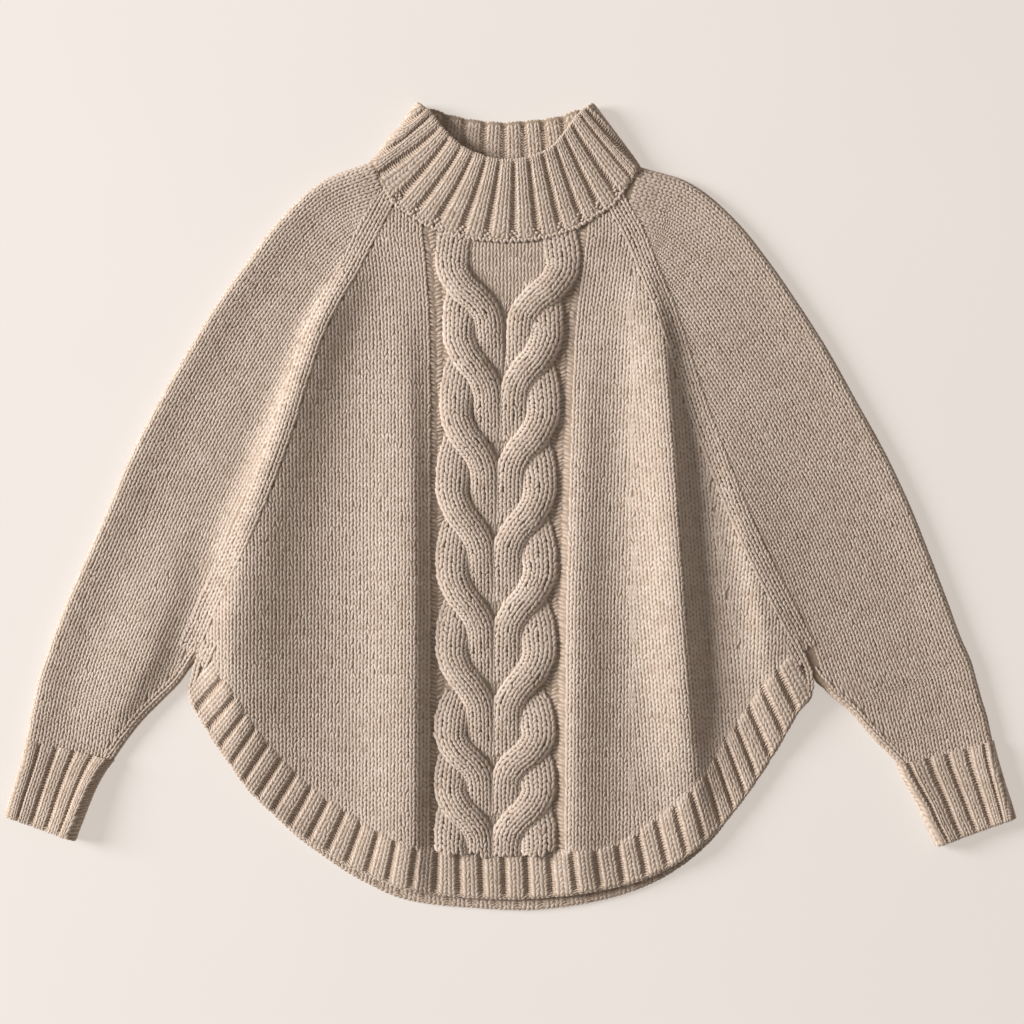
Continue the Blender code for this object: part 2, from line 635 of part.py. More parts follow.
def tube_section(front, back, out_left, out_right, high):
    """Closed section: back line, right fold, front line, left fold.

    front and back run from left to right between shared end points; high
    gives the front's middle heights at its points.
    """
    low = CLOTH / 2.0
    right_mid, right_n, right_c = roll(front[-1], out_right, low, high[-1], True)
    left_mid, left_n, left_c = roll(front[0], out_left, low, high[0], False)
    front_line = drawn_in(front, left_c, right_c)
    back_line = drawn_in(back, left_c, right_c)
    flat = np.full((len(back_line), 1), low)
    back_mid = np.hstack((back_line, flat))
    front_mid = np.hstack((front_line, high[:, None]))[::-1]
    down = np.tile((0.0, 0.0, -1.0), (len(back_mid), 1))
    up = np.tile((0.0, 0.0, 1.0), (len(front_mid), 1))
    middle = np.vstack((back_mid[1:-1], right_mid, front_mid[1:-1], left_mid))
    normal = np.vstack((down[1:-1], right_n, up[1:-1], left_n))
    return middle, normal


def tube_relief(back_count, front_count):
    """Share of the full rib height round a section: 0 means plain cloth."""
    shape = rib_profile(front_count)[::-1]
    fold = np.sin(np.linspace(0.0, 0.5 * math.pi, ROLL_CELLS + 1))
    return np.concatenate((
        np.full(back_count - 1, np.nan), fold, shape[1:-1], fold[::-1],
    ))


def ribbed(middle, normal, relief):
    """Outer and inner points of a ribbed wall about its middle."""
    height = RIB_TROUGH - CLOTH / 2.0 + (RIB_RIDGE - RIB_TROUGH) * np.nan_to_num(relief)
    height = np.where(np.isnan(relief), CLOTH / 2.0, height)
    low_side = np.clip(-normal[..., 2], 0.0, 1.0)
    height = height * (1.0 - low_side) + CLOTH / 2.0 * low_side
    outer = middle + normal * height[..., None]
    inner = middle - normal * (CLOTH / 2.0)
    outer[..., 2] = np.maximum(outer[..., 2], 0.0)
    return outer, inner


def build_collar():
    """Collar: a ribbed tube from the neck seam up to its open rim."""
    front_cells = COLLAR_RIBS * CELLS_PER_RIB
    share_front = np.linspace(0.0, 1.0, front_cells + 1)
    share_back = np.linspace(0.0, 1.0, COLLAR_BACK_CELLS + 1)
    base_front, base_back = along(NECK_FRONT, share_front), along(NECK_BACK, share_back)
    rim_front, rim_back = along(RIM_FRONT, share_front), along(RIM_BACK, share_back)
    # The fold bulges away from the shoulder below and from the base at the rim.
    base_out = unit(np.array([
        np.subtract(SLEEVE_LEFT[0][2:], SLEEVE_LEFT[0][:2]),
        np.subtract(SLEEVE_RIGHT[0][2:], SLEEVE_RIGHT[0][:2]),
    ]))
    lean = rim_front[[0, -1]] - base_front[[0, -1]]
    rim_out = unit(np.stack((-lean[:, 1], lean[:, 0]), axis=1) * np.array([[-1.0], [1.0]]))
    relief = tube_relief(COLLAR_BACK_CELLS, front_cells)
    outers, inners = [], []
    for t in np.linspace(0.0, 1.0, COLLAR_ROWS + 1):
        front = (1.0 - t) * base_front + t * rim_front
        back = (1.0 - t) * base_back + t * rim_back
        out = unit((1.0 - t) * base_out + t * rim_out)
        span = COLLAR_SPAN * (1.0 - COLLAR_TAPER * t)
        from_edge = np.minimum(share_front, 1.0 - share_front) * span
        high = upper_middle(base_front[:, 0], base_front[:, 1]) + edge_puff(from_edge)
        rise = RIM_EVENNESS + (1.0 - RIM_EVENNESS) * np.sin(math.pi * share_front)
        high = high + RIM_RISE * t * rise
        middle, normal = tube_section(front, back, out[0], out[1], high)
        outer, inner = ribbed(middle, normal, relief)
        outers.append(outer)
        inners.append(inner)
    fold = ROLL_CELLS + 1
    first = COLLAR_BACK_CELLS - 1
    column_cuts = list(range(0, first, 3)) + list(range(first, first + fold))
    front_start = first + fold
    column_cuts += list(range(front_start + 3, front_start + front_cells - 2, CELLS_PER_RIB))
    left_start = front_start + front_cells - 1
    column_cuts += list(range(left_start, left_start + fold))
    cloth_wall("collar", np.array(outers), np.array(inners),
               cuts(COLLAR_ROWS, 3), column_cuts, wrap=True)


def build_cuff(name, table, outer_on_left):
    """Cuff: a ribbed tube, a little fuller at its open end."""
    front_cells = CUFF_RIBS * CELLS_PER_RIB
    share_front = np.linspace(0.0, 1.0, front_cells + 1)[:, None]
    share_back = np.linspace(0.0, 1.0, CUFF_BACK_CELLS + 1)[:, None]
    relief = tube_relief(CUFF_BACK_CELLS, front_cells)
    sections = at_rows(table, np.linspace(0.0, len(table) - 1.0, CUFF_ROWS + 1))
    outers, inners = [], []
    for t, row in zip(np.linspace(0.0, 1.0, CUFF_ROWS + 1), sections):
        ends = (row[2:], row[:2]) if outer_on_left else (row[:2], row[2:])
        across = unit(ends[1] - ends[0])
        front = ends[0] + (ends[1] - ends[0]) * share_front
        back = ends[0] + (ends[1] - ends[0]) * share_back
        width = np.linalg.norm(ends[1] - ends[0])
        from_edge = np.minimum(share_front, 1.0 - share_front)[:, 0] * width
        high = CLOTH + GAP + CLOTH / 2.0 + edge_puff(from_edge)
        high = high + CUFF_RISE * t ** CUFF_FULLNESS
        middle, normal = tube_section(front, back, -across, across, high)
        outer, inner = ribbed(middle, normal, relief)
        outers.append(outer)
        inners.append(inner)
    fold = ROLL_CELLS + 1
    first = CUFF_BACK_CELLS - 1
    column_cuts = [0, 2] + list(range(first, first + fold))
    front_start = first + fold
    column_cuts += list(range(front_start + 3, front_start + front_cells - 2, CELLS_PER_RIB))
    left_start = front_start + front_cells - 1
    column_cuts += list(range(left_start, left_start + fold))
    cloth_wall(name, np.array(outers), np.array(inners),
               cuts(CUFF_ROWS, 3), column_cuts, wrap=True)


def sleeve_section(row, back_seam, closing):
    """Middle points and normals of one section, front seam round to back seam.

    closing runs from 0, edges flat beside the panels, to 1, edges curled
    toward each other at the underarm seam.
    """
    low = CLOTH / 2.0
    seam, edge = row[:2], row[2:]
    outward = unit(edge - seam)
    back_outward = unit(edge - back_seam)
    front_seam = seam + outward * SEAM
    back_seam = back_seam + back_outward * SEAM
    high_edge = float(upper_middle(edge[0], edge[1])) + EDGE_PUFF
    fold_middle, fold_normal, centre = roll(edge, outward, low, high_edge, False)
    high_seam = float(upper_middle(seam[0], seam[1])) + EDGE_PUFF * closing
    radius = (high_seam - low) / 2.0
    turn = math.radians(CURL_END_DEG) * closing
    # Plain edges end in short flat steps, curled ones in an arc.
    inset = CURL_STEP + (radius + CLOTH / 2.0 - CURL_STEP) * closing
    ease = np.linspace(1.0, 0.0, CURL_CELLS + 1)[:-1][:, None]
    reach = np.where(closing > 0.0, np.sin(turn * ease) / max(math.sin(turn), 1e-6), ease)
    arc = (inset - CLOTH / 2.0 * closing) * reach
    drop = radius * (1.0 - np.cos(turn * ease))
    lean = np.hstack((np.sin(turn * ease), np.cos(turn * ease)))
    start = front_seam + outward * inset
    share = np.linspace(0.0, 1.0, SLEEVE_FRONT_CELLS + 1)[:, None] ** SLEEVE_CROWDING
    line = start + (centre - start) * share
    high = upper_middle(line[:, 0], line[:, 1])
    high = high + edge_puff(np.linalg.norm(line - centre, axis=1))
    high = high + closing * edge_puff(np.linalg.norm(line - start, axis=1))
    high[0] = high_seam
    front_middle = np.hstack((line, high[:, None]))
    front_curl = np.hstack((start - outward * arc, high_seam - drop))
    front_curl_normal = np.hstack((-outward * lean[:, :1], lean[:, 1:]))
    back_share = np.linspace(0.0, 1.0, SLEEVE_BACK_CELLS + 1)[1:][:, None]
    back_start = back_seam + back_outward * inset
    back_line = centre + (back_start - centre) * back_share
    back_middle = np.hstack((back_line, np.full((len(back_line), 1), low)))
    back_curl = np.hstack((back_start - back_outward * arc, low + drop))[::-1]
    back_curl_normal = np.hstack((-back_outward * lean[:, :1], -lean[:, 1:]))[::-1]
    up = np.tile((0.0, 0.0, 1.0), (SLEEVE_FRONT_CELLS, 1))
    down = np.tile((0.0, 0.0, -1.0), (SLEEVE_BACK_CELLS, 1))
    middle = np.vstack((front_curl, front_middle[:-1], fold_middle, back_middle, back_curl))
    normal = np.vstack((front_curl_normal, up, fold_normal, down, back_curl_normal))
    return middle, normal


def build_sleeve(name, table, back_start, down_sleeve):
    """Sleeve: one cloth from the front seam, round the outer edge, to the back.

    Down to the underarm its two edges lie flat beside the panels; below it
    they curl toward each other and meet at the underarm seam.
    """
    part_rows = np.concatenate((
        np.arange(0.0, UNDERARM_SECTION, 0.5),
        np.arange(UNDERARM_SECTION, UNDERARM_SECTION + 1.0, 0.25),
        np.arange(UNDERARM_SECTION + 1.0, len(table)),
    ))
    rows = at_rows(table, part_rows)
    back = seam_lines(table, back_start, part_rows)[1]
    closing = np.clip(part_rows - UNDERARM_SECTION, 0.0, 1.0)
    sections = [sleeve_section(*given) for given in zip(rows, back, closing)]
    middle = np.array([section[0] for section in sections])
    normal = np.array([section[1] for section in sections])
    middle[0, :, :2] += unit(np.asarray(down_sleeve)) * 2.0 * SEAM
    outer = middle + normal * (CLOTH / 2.0)
    inner = middle - normal * (CLOTH / 2.0)
    outer[..., 2] = np.maximum(outer[..., 2], 0.0)
    fold_first = CURL_CELLS + SLEEVE_FRONT_CELLS
    fold_last = fold_first + ROLL_CELLS
    column_cuts = list(range(0, CURL_CELLS + 4)) + [CURL_CELLS + 6]
    column_cuts += list(range(fold_first, fold_last + 1))
    column_cuts += list(range(fold_last + SLEEVE_BACK_CELLS, outer.shape[1]))
    cloth_wall(name, outer, inner, cuts(len(part_rows) - 1, 2), column_cuts)


def main():
    """Clear the scene and build each knitted piece."""
    for thing in list(bpy.data.objects):
        bpy.data.objects.remove(thing, do_unlink=True)
    build_back_panel()
    build_front_panel()
    build_sleeve("sleeve_left", SLEEVE_LEFT, BACK_SEAM_LEFT, (-0.87, 0.5))
    build_sleeve("sleeve_right", SLEEVE_RIGHT, BACK_SEAM_RIGHT, (0.81, 0.59))
    build_hem_back()
    build_hem_front()
    build_collar()
    build_cuff("cuff_left", CUFF_LEFT, outer_on_left=True)
    build_cuff("cuff_right", CUFF_RIGHT, outer_on_left=False)


main()
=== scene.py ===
"""Cable knit sweater with raglan sleeves, laid flat with its front upward: the looks.

Each knitted piece is a closed wall of wool core, coloured darker as painted
shade, with its stitches laid on it: a knit stitch is two tapered strands that
lean apart as they rise, a purl stitch one short bar. The strands are placed by
wale (column of stitches) and course (row of stitches) on a lay, which is a
surface given as a function of two parameters.

Lines and tables are in millimetres on the laying-out board: x to the right,
y downward from the board's top left corner. Heights are millimetres above
the board. BOARD_CENTRE is the point of the board over the origin.
"""

import logging
import math
from collections.abc import Callable
from dataclasses import dataclass, field
from enum import Enum

import bpy
import numpy as np
from bpy.types import Material, NodeTree, Object
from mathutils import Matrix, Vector

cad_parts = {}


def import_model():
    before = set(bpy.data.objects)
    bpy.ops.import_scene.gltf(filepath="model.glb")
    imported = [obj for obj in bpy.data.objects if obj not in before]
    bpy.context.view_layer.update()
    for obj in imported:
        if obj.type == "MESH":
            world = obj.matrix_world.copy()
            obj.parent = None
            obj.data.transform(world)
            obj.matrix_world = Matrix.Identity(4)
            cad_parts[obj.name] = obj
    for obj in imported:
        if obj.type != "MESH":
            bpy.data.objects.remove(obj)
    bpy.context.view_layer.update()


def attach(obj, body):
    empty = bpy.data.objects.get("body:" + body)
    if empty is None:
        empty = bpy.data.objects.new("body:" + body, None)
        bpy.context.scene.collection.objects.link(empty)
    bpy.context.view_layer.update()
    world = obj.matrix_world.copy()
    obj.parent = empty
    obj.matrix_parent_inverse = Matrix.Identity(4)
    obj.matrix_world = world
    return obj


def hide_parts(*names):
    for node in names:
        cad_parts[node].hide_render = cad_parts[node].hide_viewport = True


LOG = logging.getLogger("sweater")
Rows = list[tuple[float, ...]]
Array = np.ndarray
Pair = tuple[Array, Array]
Keep = Callable[[Array, Array], Array]

# ---- sizes, mm
MM = 0.001
BOARD_CENTRE = (510.0, 506.84)
CLOTH = 4.0
GAP = 0.3
SEAM = 0.4
WALE = 7.0
SLEEVE_WALE = 6.6
COURSE = 4.9
SINK = 0.5             # how far the core lies under the foot of the strands
NECK_LIFT = 3.2
NECK_REACH = 60.0
EDGE_PUFF = 3.0
EDGE_REACH = 22.0
EDGE_EASE = 12.0
NECK_ENDS = (395.0, 613.5)
RIB_ENDS = (203.0, 798.0)
CABLE_PITCH = 79.0
PURL_DIP = 2.1
RIGHT_STRAND_WIDER = 1.10
TOP_STRAND_WIDER = 1.27
RAGLAN_END = 11
UNDERARM_SECTION = 12
BACK_SEAM_SECTIONS = 3.0
BACK_LET_DOWN = 11.0
OPEN_END = 0.972       # share of a tube's length where its rim begins to roll over
BACK_MIDDLE = 506.0    # board x where the ribs inside the collar stand straight
INSIDE_RIBS = (446.0, 19.4)    # board x of the first trough there, and their spacing

# ---- lines: columns x, y
NECK_FRONT: Rows = [
    (371, 162), (379, 176), (387, 190), (395, 203.5), (410, 213), (428, 225), (450, 233),
    (478, 238.5), (506, 240.5), (534, 239), (560, 233), (582, 224), (600, 212),
    (613.5, 203.5), (622, 191.5), (631, 179.5), (640, 167),
]
NECK_BACK: Rows = [
    (371, 162), (386.5, 171), (402, 180), (450, 193), (506, 198), (560, 194.5), (607, 184),
    (623.5, 175.5), (640, 167),
]
RIM_FRONT: Rows = [
    (418, 103), (430, 112), (440, 125), (450, 136.5), (462, 147), (478, 155), (500, 160.5),
    (520, 160), (538, 155), (551, 148), (562, 136), (572, 122.5), (582, 111.5),
    (592, 103.5),
]
RIM_BACK: Rows = [
    (418, 103), (432, 108.5), (448, 114.5), (465, 118.5), (485, 121.5), (505, 122.5),
    (525, 121), (545, 119), (562, 115.5), (577, 109.5), (592, 103.5),
]
RIB_TOP: Rows = [
    (203, 643), (214, 656), (225, 671), (240, 693), (257, 721), (277, 747), (300, 771),
    (322, 790), (348, 806), (375, 825), (400, 838), (430, 846), (470, 849.5), (510, 850),
    (550, 849), (580, 847), (600, 845), (628, 833), (655, 813), (680, 794), (700, 772),
    (718, 745), (736, 716), (757, 686), (778, 661), (798, 641),
]
HEM_FRONT: Rows = [
    (188, 688), (191, 702), (203, 723), (217, 745), (233, 768), (250, 791), (266, 807),
    (280, 820), (300, 836), (320, 849), (345, 864), (370, 876), (400, 887.5), (430, 893.5),
    (470, 897.5), (515, 899), (560, 896), (600, 890), (640, 880.5), (670, 867), (700, 846),
    (720, 828), (740, 804), (760, 776), (780, 744), (800, 709), (811, 696), (813, 688),
]
HEM_BACK: Rows = [
    (189, 688), (192, 701), (204, 722), (218, 744), (234, 767), (251, 790), (267, 808),
    (282, 824), (300, 840.5), (320, 855), (345, 872), (370, 886), (400, 899), (430, 905),
    (470, 908.5), (530, 911), (580, 905.5), (620, 896.5), (650, 885.5), (680, 868.5),
    (700, 853), (720, 832), (739, 803.5), (759, 775.5), (779, 743.5), (799, 708.5),
    (810, 696), (812, 688),
]
UNDERARM_LEFT = (197.0, 656.0)
UNDERARM_RIGHT = (812.5, 674.5)

# ---- sleeves, a row for each section: front seam x, y and outer edge x, y
SLEEVE_LEFT: Rows = [
    (395, 203.5, 371, 162), (375, 240, 322, 181.5), (357, 275, 279, 220),
    (342, 300, 248, 260), (323, 340, 219, 300), (308, 385, 188, 350), (296, 425, 159, 400),
    (280, 470, 131, 454), (262, 515, 109, 505), (241, 560, 87, 555), (221, 602, 68, 598),
    (203, 643, 52.5, 637), (197, 656, 46, 656), (180, 682, 38, 680),
    (161, 701.5, 33.5, 700), (141, 722, 30, 717), (125, 742.5, 28, 729),
    (113.5, 759.5, 26, 738.5),
]
SLEEVE_RIGHT: Rows = [
    (613.5, 203.5, 640, 167), (632, 237, 690, 183), (648, 277, 735, 219.5),
    (660, 305, 768, 260), (672, 340, 796, 300), (686, 385, 828, 350), (700, 425, 856, 400),
    (716, 467, 886, 454), (733, 510, 910, 505), (751, 550, 930, 555),
    (771, 590, 946.5, 598), (798, 641, 962, 640), (812.5, 674.5, 972, 663),
    (830, 695, 977, 681), (850, 712, 982.5, 701), (868, 733, 988, 719),
    (884, 749.5, 990.5, 731), (898, 764, 992.5, 740.5),
]
BACK_SEAM_LEFT = (7.0, -23.5)
BACK_SEAM_RIGHT = (-6.5, -19.5)

# ---- cuffs, a row for each section: inner edge x, y and outer edge x, y
CUFF_LEFT: Rows = [
    (113.35, 760, 25.9, 739), (105, 771, 21.5, 758), (98, 783.5, 16, 777),
    (91.5, 798, 10, 796), (84, 818, 6.5, 808), (75, 841.5, 5, 814),
]
CUFF_RIGHT: Rows = [
    (898.1, 764.5, 992.6, 741), (904, 778, 997, 759.5), (911.5, 792, 1002.5, 778),
    (919.5, 807, 1008.5, 797), (927.5, 826, 1012.5, 809), (938, 847, 1015, 816.5),
]

# ---- folds of the front: board y, crest x, spread left, spread right, height
FOLDS: dict[str, Rows] = {
    "raglan_left": [
        (240, 368, 14, 20, 0), (320, 323, 14, 25, 11), (400, 295, 16, 30, 13),
        (520, 255, 24, 46, 16), (620, 236, 30, 54, 17), (700, 236, 34, 54, 12.5),
        (790, 250, 32, 44, 3),
    ],
    "middle_left": [
        (290, 402, 30, 15, 0), (380, 407, 36, 15, 4.5), (480, 411, 42, 14, 8),
        (640, 413, 44, 14, 11), (800, 413, 44, 14, 10.5), (900, 411, 36, 15, 3.5),
    ],
    "purl_right": [
        (320, 594, 18, 18, 0), (400, 585, 17, 20, 3), (480, 581, 16, 24, 5.5),
        (600, 578, 16, 27, 7.5), (700, 577, 16, 29, 8), (840, 576, 16, 30, 6),
        (900, 576, 16, 28, 2),
    ],
    "middle_right": [
        (250, 640, 26, 14, 0), (340, 661, 30, 12, 9), (460, 671, 34, 13, 16.5),
        (600, 679, 34, 15, 19.5), (690, 685, 33, 16, 17.5), (780, 691, 30, 18, 8),
        (880, 696, 30, 18, 1),
    ],
    "side_right": [
        (400, 712, 13, 26, 0), (480, 732, 13, 32, 3), (540, 747, 14, 36, 5),
        (620, 764, 15, 38, 5.5), (700, 774, 17, 34, 3), (760, 778, 19, 30, 0),
    ],
    "sleeve_right": [
        (200, 650, 40, 70, 0), (300, 676, 60, 88, 4.5), (400, 698, 80, 106, 7),
        (500, 732, 90, 114, 8), (600, 772, 90, 116, 8.5), (680, 806, 80, 110, 8),
        (740, 840, 60, 90, 3.5), (775, 860, 50, 80, 0),
    ],
    "sleeve_left": [
        (520, 182, 40, 22, 0), (600, 166, 46, 22, 5), (660, 146, 48, 20, 7),
        (710, 120, 44, 18, 5), (750, 98, 40, 18, 0),
    ],
}

# ---- cable: where each pair of strands meets, columns x, y
CABLE_MEETS: Rows = [
    (504.6, 300.5), (500.5, 372), (497.4, 450), (493.6, 529), (493.8, 609), (493.4, 688),
    (492.4, 763), (492.3, 821), (492.3, 885),
]
# One strand of the cable: distance out from the middle, distance down from
# the meeting point, half width, height of its crest.
STRAND: Rows = [
    (34, -94, 14, 1), (38, -78, 16, 2.9), (41.2, -54, 17.2, 5), (41.2, -34, 16.2, 6.4),
    (33.5, -15, 15.4, 7.6), (21.5, 1, 14.9, 7.2), (13.8, 17, 15, 5.8),
    (12.4, 38, 14.8, 3.9), (12.2, 60, 14.6, 2.1), (12.2, 72, 14.2, 1),
]
# Edges of the plain knitting beside the cable: board y, left x, right x.
FIELD_EDGES: Rows = [
    (235, 422.5, 587), (275, 427, 582), (307, 429, 577.5), (340, 430, 574.5),
    (400, 430.5, 572), (480, 430.5, 569.5), (600, 431, 566), (700, 430.5, 565),
    (850, 430, 564),
]
# Wales right of the cable follow the fold's ridge: board y, x.
RIDGE_GUIDE: Rows = [
    (200, 657), (340, 664), (460, 673), (600, 684), (700, 693), (790, 700), (900, 706),
]
VALLEY_GUIDE: Rows = [
    (380, 700), (460, 703), (540, 714), (600, 724), (660, 738), (740, 752), (850, 770),
]
SIDE_GUIDE: Rows = [(400, 756), (520, 742), (600, 734), (680, 732), (800, 736)]
BAND_X = 633.0         # where the wales beside the cable give way to the ridge's

# ---- ribs: number of the trough, share of the width at the two ends
HEM_TROUGHS: Rows = [
    (-2, -0.034, -0.008), (-1, 0, 0.021), (0, 0.031, 0.05), (1, 0.058, 0.079),
    (2, 0.085, 0.103), (3, 0.11, 0.126), (6, 0.188, 0.205), (9, 0.272, 0.285),
    (12, 0.356, 0.36), (15, 0.447, 0.442), (18, 0.532, 0.53), (21, 0.622, 0.618),
    (24, 0.71, 0.708), (27, 0.794, 0.794), (30, 0.866, 0.868), (33, 0.962, 0.955),
    (34, 0.996, 0.99), (35, 1.03, 1.025),
]
COLLAR_TROUGHS: Rows = [
    (-3, -0.045, -0.13), (-2, 0.018, -0.085), (-1, 0.086, -0.04), (0, 0.154, 0.04),
    (1, 0.216, 0.145), (2, 0.288, 0.21), (3, 0.349, 0.283), (4, 0.411, 0.37),
    (5, 0.474, 0.449), (6, 0.539, 0.534), (7, 0.607, 0.608), (8, 0.674, 0.682),
    (9, 0.742, 0.751), (10, 0.803, 0.818), (11, 0.863, 0.89), (12, 0.93, 0.966),
    (13, 0.994, 1.018), (14, 1.038, 1.06),
]
CUFF_LEFT_TROUGHS: Rows = [
    (-1, -0.08, -0.08), (0, 0.15, 0.15), (1, 0.384, 0.358), (2, 0.59, 0.558),
    (3, 0.8, 0.77), (4, 1.055, 1.035), (5, 1.29, 1.27),
]
CUFF_RIGHT_TROUGHS: Rows = [
    (-1, -0.13, -0.18), (0, 0.068, 0.054), (1, 0.302, 0.323), (2, 0.496, 0.513),
    (3, 0.685, 0.724), (4, 0.884, 0.951), (5, 1.09, 1.18),
]


class Side(Enum):
    """Which side of the garment, as seen from above; the value is the sign of x."""

    LEFT = -1.0
    RIGHT = 1.0


SLEEVE_PUFF = {Side.LEFT: 3.6, Side.RIGHT: 1.2}
SLEEVES = {Side.LEFT: SLEEVE_LEFT, Side.RIGHT: SLEEVE_RIGHT}
BACK_SEAMS = {Side.LEFT: BACK_SEAM_LEFT, Side.RIGHT: BACK_SEAM_RIGHT}
CUFFS = {Side.LEFT: CUFF_LEFT, Side.RIGHT: CUFF_RIGHT}
CUFF_TROUGHS = {Side.LEFT: CUFF_LEFT_TROUGHS, Side.RIGHT: CUFF_RIGHT_TROUGHS}


class Edge(Enum):
    """Which side of a directed line a bound keeps."""

    LEFT_OF = -1.0
    RIGHT_OF = 1.0


# ---- small geometry
def unit(vectors: Array) -> Array:
    """Vectors divided by their own length."""
    return vectors / np.maximum(np.linalg.norm(vectors, axis=-1, keepdims=True), 1e-9)


def even(cells: int) -> Array:
    """Shares from 0 to 1, one more than the cells between them."""
    return np.linspace(0.0, 1.0, cells + 1)


def run_of(points: Array) -> Array:
    """Length along a line of points, from 0 at its first point."""
    steps = np.linalg.norm(np.diff(points, axis=0), axis=1)
    return np.concatenate(([0.0], np.cumsum(steps)))


def hermite(points: Array, slopes: Array, knots: Array, at: Array) -> Array:
    """Cubic pieces through points with given slopes.

    On each span, with t from 0 to 1, the value is (1+2t)(1-t)^2 of the first
    point, t(1-t)^2 of its slope, t^2(3-2t) of the second point and t^2(t-1)
    of its slope.

    Args:
        points: One row for each knot.
        slopes: The slope at each knot.
        knots: Increasing positions of the rows.
        at: Positions to read.

    Returns:
        One row for each position.
    """
    k = np.clip(np.searchsorted(knots, at, side="right") - 1, 0, len(knots) - 2)
    span = (knots[k + 1] - knots[k])[:, None]
    t = (at - knots[k])[:, None] / span
    value = (1.0 + 2.0 * t) * (1.0 - t) ** 2 * points[k]
    value = value + t * (1.0 - t) ** 2 * span * slopes[k]
    value = value + t * t * (3.0 - 2.0 * t) * points[k + 1]
    return value + t * t * (t - 1.0) * span * slopes[k + 1]


def along(table: Rows, shares: Array, samples: int = 900) -> Array:
    """Points of a smooth line through the rows, at shares of its length.

    Args:
        table: Rows whose first two columns are x and y.
        shares: Where to read, from 0 to 1.
        samples: How finely the length is measured.

    Returns:
        One row of all the table's columns for each share.
    """
    points = np.asarray(table, float)
    knots = run_of(points[:, :2])
    slopes = np.gradient(points, knots, axis=0)
    fine = np.linspace(0.0, knots[-1], samples)
    run = run_of(hermite(points, slopes, knots, fine)[:, :2])
    at = np.interp(np.asarray(shares, float) * run[-1], run, fine)
    return hermite(points, slopes, knots, at)


def at_rows(table: Rows, rows: Array) -> Array:
    """A table of sections, read smoothly at whole or part rows."""
    points = np.asarray(table, float)
    knots = np.arange(len(points), dtype=float)
    return hermite(points, np.gradient(points, knots, axis=0), knots, np.asarray(rows, float))


def at_x(table: Rows, x: Array) -> Array:
    """Points of the smooth line through the rows, at the given x."""
    line = along(table, np.linspace(0.0, 1.0, 900))
    return np.stack((x, np.interp(x, line[:, 0], line[:, 1])), axis=1)


def read_x(table: Rows, y: Array, column: int = 1) -> Array:
    """One column of a table whose first column is board y, read at y."""
    rows = np.asarray(table)
    return np.interp(y, rows[:, 0], rows[:, column])


def upright(board: Array) -> Array:
    """Board millimetres with heights to millimetres from the origin, y up."""
    out = np.array(board, float)
    out[..., 0] -= BOARD_CENTRE[0]
    out[..., 1] = BOARD_CENTRE[1] - out[..., 1]
    return out


def seam_lines(side: Side, rows: Array) -> Pair:
    """Front and back raglan seams at part rows of a sleeve's table."""
    front = at_rows(SLEEVES[side], rows)[:, :2]
    apart = np.clip(1.0 - rows / BACK_SEAM_SECTIONS, 0.0, 1.0) ** 2
    return front, front + apart[:, None] * np.asarray(BACK_SEAMS[side])


class Line:
    """A smooth line on the board, read by its length in millimetres."""

    def __init__(self, table: Rows, samples: int = 420) -> None:
        """Measures the line once.

        Args:
            table: Rows of x and y.
            samples: Number of points kept.
        """
        self.points = along(table, np.linspace(0.0, 1.0, samples))[:, :2]
        self.run = run_of(self.points)
        self.length = float(self.run[-1])
        self.slopes = unit(np.gradient(self.points, self.run, axis=0))

    def at(self, s: Array) -> Array:
        """Points at lengths s; past an end the line runs on straight."""
        inside = np.clip(s, 0.0, self.length)
        flat = inside.ravel()
        xy = np.stack([np.interp(flat, self.run, self.points[:, k]) for k in (0, 1)], -1)
        xy = xy.reshape(inside.shape + (2,))
        return xy + self.heading(s) * (s - inside)[..., None]

    def heading(self, s: Array) -> Array:
        """Unit direction of the line at lengths s."""
        flat = np.clip(s, 0.0, self.length).ravel()
        way = np.stack([np.interp(flat, self.run, self.slopes[:, k]) for k in (0, 1)], -1)
        return unit(way.reshape(np.shape(s) + (2,)))

    def locate(self, x: Array, y: Array) -> Pair:
        """Distance right of the line, seen along it from above, and the length there.

        Args:
            x: Board x of the points.
            y: Board y of the points.

        Returns:
            Signed distances and lengths, one for each point.
        """
        a, b = self.points[:-1], self.points[1:]
        leg = b - a
        size = (leg ** 2).sum(1)
        off, place = np.zeros(x.shape), np.zeros(x.shape)
        for start in range(0, len(x), 4000):
            part = slice(start, start + 4000)
            dx = x[part, None] - a[None, :, 0]
            dy = y[part, None] - a[None, :, 1]
            t = np.clip((dx * leg[:, 0] + dy * leg[:, 1]) / size, 0.0, 1.0)
            gap = (dx - t * leg[:, 0]) ** 2 + (dy - t * leg[:, 1]) ** 2
            k = gap.argmin(1)
            row = np.arange(len(k))
            side = leg[k, 0] * dy[row, k] - leg[k, 1] * dx[row, k]
            off[part] = np.sqrt(gap[row, k]) * np.where(side > 0.0, 1.0, -1.0)
            place[part] = self.run[k] + t[row, k] * (self.run[k + 1] - self.run[k])
        return off, place


@dataclass(frozen=True)
class Bound:
    """Keeps the stitches that lie on one side of a line, by a margin."""

    line: Line
    keep: Edge
    margin: float = 0.0

    def inside(self, x: Array, y: Array) -> Array:
        """True for each board point that the bound keeps."""
        off, _ = self.line.locate(x, y)
        return off * self.keep.value > self.margin


